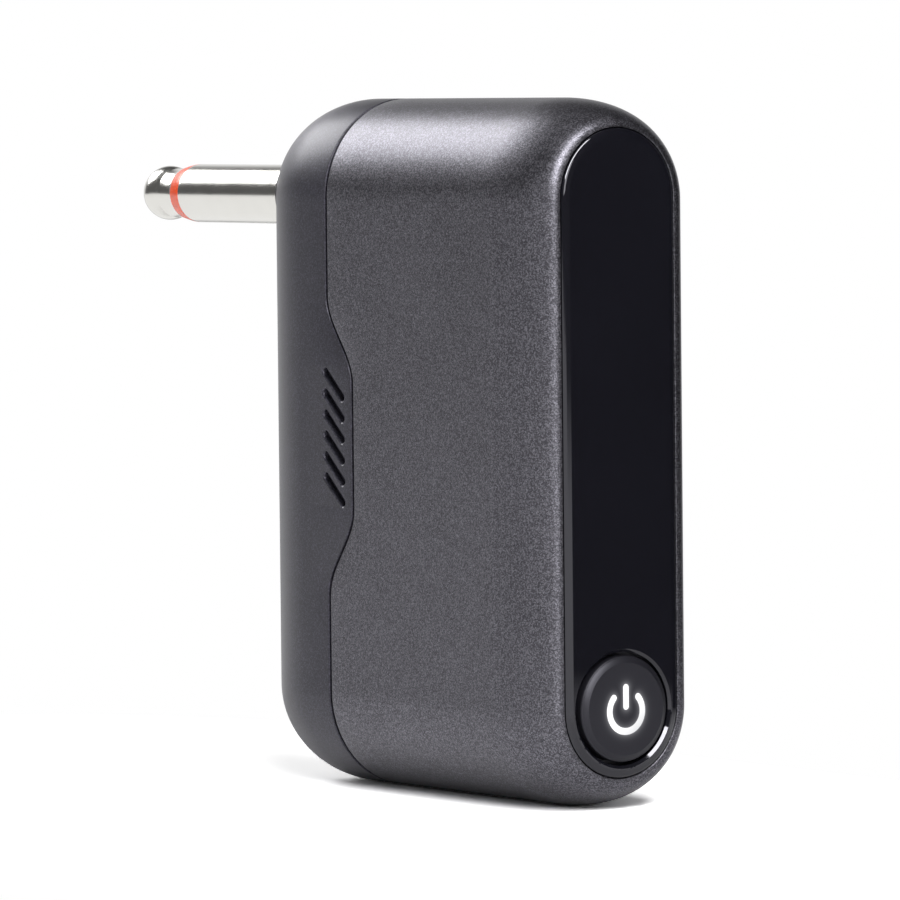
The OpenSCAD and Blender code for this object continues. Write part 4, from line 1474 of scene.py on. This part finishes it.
@dataclass
class Inside:
    """Finishes of the solids inside the case, which keep their own shapes."""

    # After its two colours: cell, relief, roughness and metallic share
    speckled: tuple[InnerFinish, ...] = (
        InnerFinish("solder_mask", "circuit_board", (0.01, 0.09, 0.04), (0.02, 0.14, 0.06), 1.6, 0.01, 0.3),
        InnerFinish("chip_epoxy", "chip", (0.012, 0.012, 0.013), (0.03, 0.03, 0.03), 0.3, 0.006, 0.55),
        InnerFinish(
            "battery_foil", "battery_foil", (0.4, 0.4, 0.42), (0.55, 0.55, 0.58), 2.5, 0.03, 0.3, 0.8
        ),
        InnerFinish("foam", "foam", (0.03, 0.03, 0.033), (0.08, 0.08, 0.085), 0.35, 0.1, 0.9),
        InnerFinish("wire_jacket", "wire", (0.35, 0.03, 0.02), (0.5, 0.06, 0.04), 0.8, 0.01, 0.45),
        InnerFinish("pale_insulator", "insulator", (0.55, 0.53, 0.46), (0.68, 0.66, 0.6), 0.8, 0.006, 0.45),
        InnerFinish(
            "capacitor_sleeve", "capacitor", (0.03, 0.03, 0.05), (0.06, 0.06, 0.09), 0.7, 0.008, 0.4
        ),
        InnerFinish("flex_film", "flex_film", (0.45, 0.2, 0.03), (0.6, 0.3, 0.06), 0.9, 0.004, 0.3),
        InnerFinish(
            "seal_rubber", "seal_rubber", (0.012, 0.012, 0.013), (0.025, 0.025, 0.027), 0.3, 0.01, 0.75
        ),
        InnerFinish("adhesive_sheet", "adhesive", (0.05, 0.05, 0.05), (0.1, 0.1, 0.1), 0.6, 0.02, 0.7),
    )
    # A metal's last three: roughness, width of its turning lines and their relief
    others: tuple[Finish, ...] = (
        MouldedPlastic("chassis_plastic", "chassis_plastic", (0.02, 0.02, 0.022), (0.03, 0.03, 0.032)),
        PlatedMetal("screw_steel", "steel", (0.5, 0.5, 0.5), (0.62, 0.62, 0.61), 0.3, 0.1, 0.004),
        PlatedMetal("tinned_brass", "tinned_brass", (0.62, 0.58, 0.46), (0.72, 0.68, 0.56), 0.3, 0.2, 0.003),
        PlatedMetal("nut_nickel", "nickel", (0.6, 0.6, 0.58), (0.7, 0.7, 0.68), 0.25, 0.1, 0.003),
        LitGuide("lamp_lens", "light_guide"),
    )

    @staticmethod
    def worn_by() -> dict[str, list[str]]:
        """Which solids wear which finish.

        Returns:
            The solids' names, under the name of their finish.
        """
        return {
            "solder_mask": ["main_board", "button_board"],
            "chip_epoxy": ["radio_chip", "audio_chip", "charger_chip", "button_switch"],
            "chassis_plastic": ["chassis"],
            "battery_foil": ["battery"],
            "foam": ["battery_pad"],
            "screw_steel": ["case_screws", "cover_screws", "board_screws", "button_board_screws"],
            "tinned_brass": ["sleeve_lug", "tip_lug", "antenna"],
            "nut_nickel": ["plug_nut", "plug_washer", "radio_shield"],
            "wire_jacket": ["battery_wires", "signal_wire", "ground_wire"],
            "pale_insulator": ["plug_liner", "plug_bush", "battery_plug", "switch_plunger"],
            "capacitor_sleeve": ["audio_capacitors"],
            "flex_film": ["button_flex"],
            "seal_rubber": ["cover_seal"],
            "adhesive_sheet": ["panel_adhesive"],
            "lamp_lens": ["button_leds"],
        }

    def build(self) -> None:
        """Puts each finish on its solids."""
        finishes = {finish.name: finish for finish in (*self.speckled, *self.others)}
        for name, nodes in self.worn_by().items():
            for node in nodes:
                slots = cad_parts[node].data.materials
                slots.clear()
                slots.append(finishes[name].make())
                LOG.info("%s: own solid, %s", node, name)


@dataclass
class Lamp:
    """One soft box: its place, its size, how bright its face is and which way its width lies."""

    name: str
    toward: tuple[float, float, float]
    distance: float
    width: float
    height: float
    radiance: float
    along: tuple[float, float, float] = (1.0, 0.0, 0.0)

    def build(self, target: Vector) -> None:
        """Makes the lamp.

        Args:
            target: the point that it faces, in metres.
        """
        light = bpy.data.lights.new(self.name, "AREA")
        light.shape = "RECTANGLE"
        light.size = self.width
        light.size_y = self.height
        light.energy = self.radiance * math.pi * self.width * self.height
        lamp = bpy.data.objects.new(self.name, light)
        bpy.context.collection.objects.link(lamp)
        away = Vector(self.toward).normalized()
        across = Vector(self.along)
        across = (across - away * across.dot(away)).normalized()
        turn = Matrix((across, away.cross(across), away)).transposed().to_4x4()
        lamp.matrix_world = Matrix.Translation(target + away * self.distance) @ turn
        lamp.visible_camera = False


@dataclass
class Studio:
    """Camera, lamps, pale floor and surroundings."""

    azimuth: float = -35.24
    elevation: float = 2.925
    roll: float = -0.577
    distance: float = 740.85
    focal_px: float = 7050.8
    image_px: float = 900.0
    target: tuple[float, float, float] = (0.0, -17.0, -25.85)
    target_px: tuple[float, float] = (408.2, 441.94)
    sensor: float = 36.0
    clip: tuple[float, float] = (0.01, 20.0)
    lamp_target: tuple[float, float, float] = (0.0, -28.0, -25.2)
    floor_z: float = -61.92
    floor_size: float = 2600.0
    floor_turn: float = -1.3
    floor_reach: float = 105.0
    floor_fade: float = 60.0
    floor_tone: Colour = (1.95, 1.95, 1.95)
    paper: tuple[Colour, Colour] = ((0.78, 0.78, 0.78), (0.82, 0.82, 0.82))
    white: Colour = (1.0, 1.0, 1.0)
    footing_y: float = -28.0
    footing_h: float = 24.0
    shade_reach: tuple[float, float] = (45.0, 90.0)
    shade_squeeze: float = 2.2
    backdrop_toward: tuple[float, float] = (0.576, 0.816)
    backdrop_reach: tuple[float, float] = (0.64, 0.87)
    backdrop_top: tuple[float, float] = (0.31, 0.52)
    backdrop_tone: Colour = (0.9, 0.9, 0.9)
    wall_reach: tuple[float, float] = (0.25, 0.75)
    walls: tuple[Colour, Colour] = ((0.10, 0.10, 0.10), (0.03, 0.03, 0.031))
    lamps: tuple[Lamp, ...] = (
        Lamp("rear_top_box", (-0.165, 0.80, 0.578), 0.9, 0.45, 0.42, 6.8, (0.93, 0.0, 0.37)),
        Lamp("key_strip", (-0.24, -0.72, 0.645), 1.0, 0.88, 0.26, 15.0, (0.664, 0.243, 0.576)),
        Lamp("top_box", (-0.1, 0.1, 1.0), 1.1, 1.0, 1.0, 0.2),
        Lamp("front_box", (-0.20, -0.95, 0.25), 1.1, 0.50, 0.42, 3.4),
        Lamp("left_fill", (-0.98, -0.10, 0.30), 1.2, 0.7, 0.4, 0.65, (0.0, 1.0, 0.0)),
    )

    def camera(self) -> None:
        """The photograph's view, panned so that no shift is needed."""
        a, e, r = map(math.radians, (self.azimuth, self.elevation, self.roll))
        back = Vector((math.sin(a) * math.cos(e), -math.cos(a) * math.cos(e), math.sin(e)))
        level = Vector((math.cos(a), math.sin(a), 0))
        upright = back.cross(level)
        right = level * math.cos(r) + upright * math.sin(r)
        up = upright * math.cos(r) - level * math.sin(r)
        half = self.image_px / 2
        pan = (half - self.target_px[0]) / self.focal_px
        tilt = (self.target_px[1] - half) / self.focal_px
        ahead = (right * pan + up * tilt - back).normalized()
        right = (right - ahead * right.dot(ahead)).normalized()
        up = right.cross(ahead)
        data = bpy.data.cameras.new("camera")
        data.sensor_width = self.sensor
        data.lens = self.focal_px / self.image_px * self.sensor
        data.clip_start, data.clip_end = self.clip
        eye = bpy.data.objects.new("camera", data)
        bpy.context.collection.objects.link(eye)
        place = (Vector(self.target) + back * self.distance) * MM
        eye.matrix_world = Matrix.Translation(place) @ Matrix((right, up, -ahead)).transposed().to_4x4()
        bpy.context.scene.camera = eye

    def floor(self) -> None:
        """A pale table that ends close by on the right, shows as white and keeps the shadow."""
        turn = math.radians(self.floor_turn)
        right = Vector((math.cos(turn), math.sin(turn), 0))
        middle = right * (self.floor_reach - self.floor_size / 2)
        Piece.clear_hands()
        bpy.ops.mesh.primitive_plane_add(
            size=self.floor_size * MM,
            location=(middle + Vector((0, self.footing_y, self.floor_z))) * MM,
            rotation=(0, 0, turn),
        )
        piece = Piece(bpy.context.object, "floor")
        piece.settle()
        material = bpy.data.materials.new("floor_paper")
        material.use_nodes = True
        recipe = Recipe(material.node_tree)
        path = recipe.node("LightPath").outputs
        camera, glossy = (Number(recipe, path[name]) for name in ("Is Camera Ray", "Is Glossy Ray"))
        x, y, _ = recipe.axes(recipe.place())
        past = (abs(y * PER_MM - self.footing_y) - self.footing_h).most(0.0)
        side = (x * (self.shade_squeeze / MM)).most(x * -PER_MM)
        away = (side * side + past * past).root().ramp(*self.shade_reach)
        tone = recipe.blend(camera, recipe.blend(recipe.noise(cell=60.0), *self.paper), self.floor_tone)
        shaded = recipe.node("BsdfDiffuse", {"Color": tone}).outputs[0]
        along = x * (right.x / MM) + y * (right.y / MM)
        fade = 1 - along.ramp(self.floor_reach - self.floor_fade, self.floor_reach)
        glow = {"Color": self.white, "Strength": camera.most(fade)}
        white = recipe.node("Emission", glow).outputs[0]
        both = recipe.node("MixShader", {0: camera.most(glossy) * away, 1: shaded, 2: white})
        recipe.node("OutputMaterial", {"Surface": both.outputs[0]})
        piece.obj.data.materials.append(material)

    def world(self) -> None:
        """White behind the object for the camera; a dim room with a pale backdrop for the rest."""
        world = bpy.data.worlds.new("studio")
        world.use_nodes = True
        bpy.context.scene.world = world
        recipe = Recipe(world.node_tree)
        x, y, z = recipe.axes(recipe.node("TexCoord").outputs["Generated"])
        toward = x * self.backdrop_toward[0] + y * self.backdrop_toward[1]
        backdrop = toward.ramp(*self.backdrop_reach) * (1 - z.ramp(*self.backdrop_top))
        wall = recipe.blend(x.ramp(*self.wall_reach), *self.walls)
        room = recipe.blend(backdrop, wall, self.backdrop_tone)
        camera = Number(recipe, recipe.node("LightPath").outputs["Is Camera Ray"])
        seen = recipe.blend(camera, room, self.white)
        shader = recipe.node("Background", {"Color": seen, "Strength": 1.0})
        recipe.node("OutputWorld", {"Surface": shader.outputs[0]})

    def build(self) -> None:
        """Sets the stage."""
        bpy.context.scene.view_settings.view_transform = "Standard"
        self.camera()
        self.floor()
        self.world()
        for lamp in self.lamps:
            lamp.build(Vector(self.lamp_target) * MM)


def main() -> None:
    """Builds the studio and every sub-assembly."""
    logging.basicConfig(level=logging.INFO, format="%(message)s")
    Studio().build()
    for assembly in (Case(), Front(), Plug(), ChargingPort()):
        for piece in assembly.build():
            LOG.info("%s is in place", piece.obj.name)
    Inside().build()


if __name__ == "__main__":
    main()
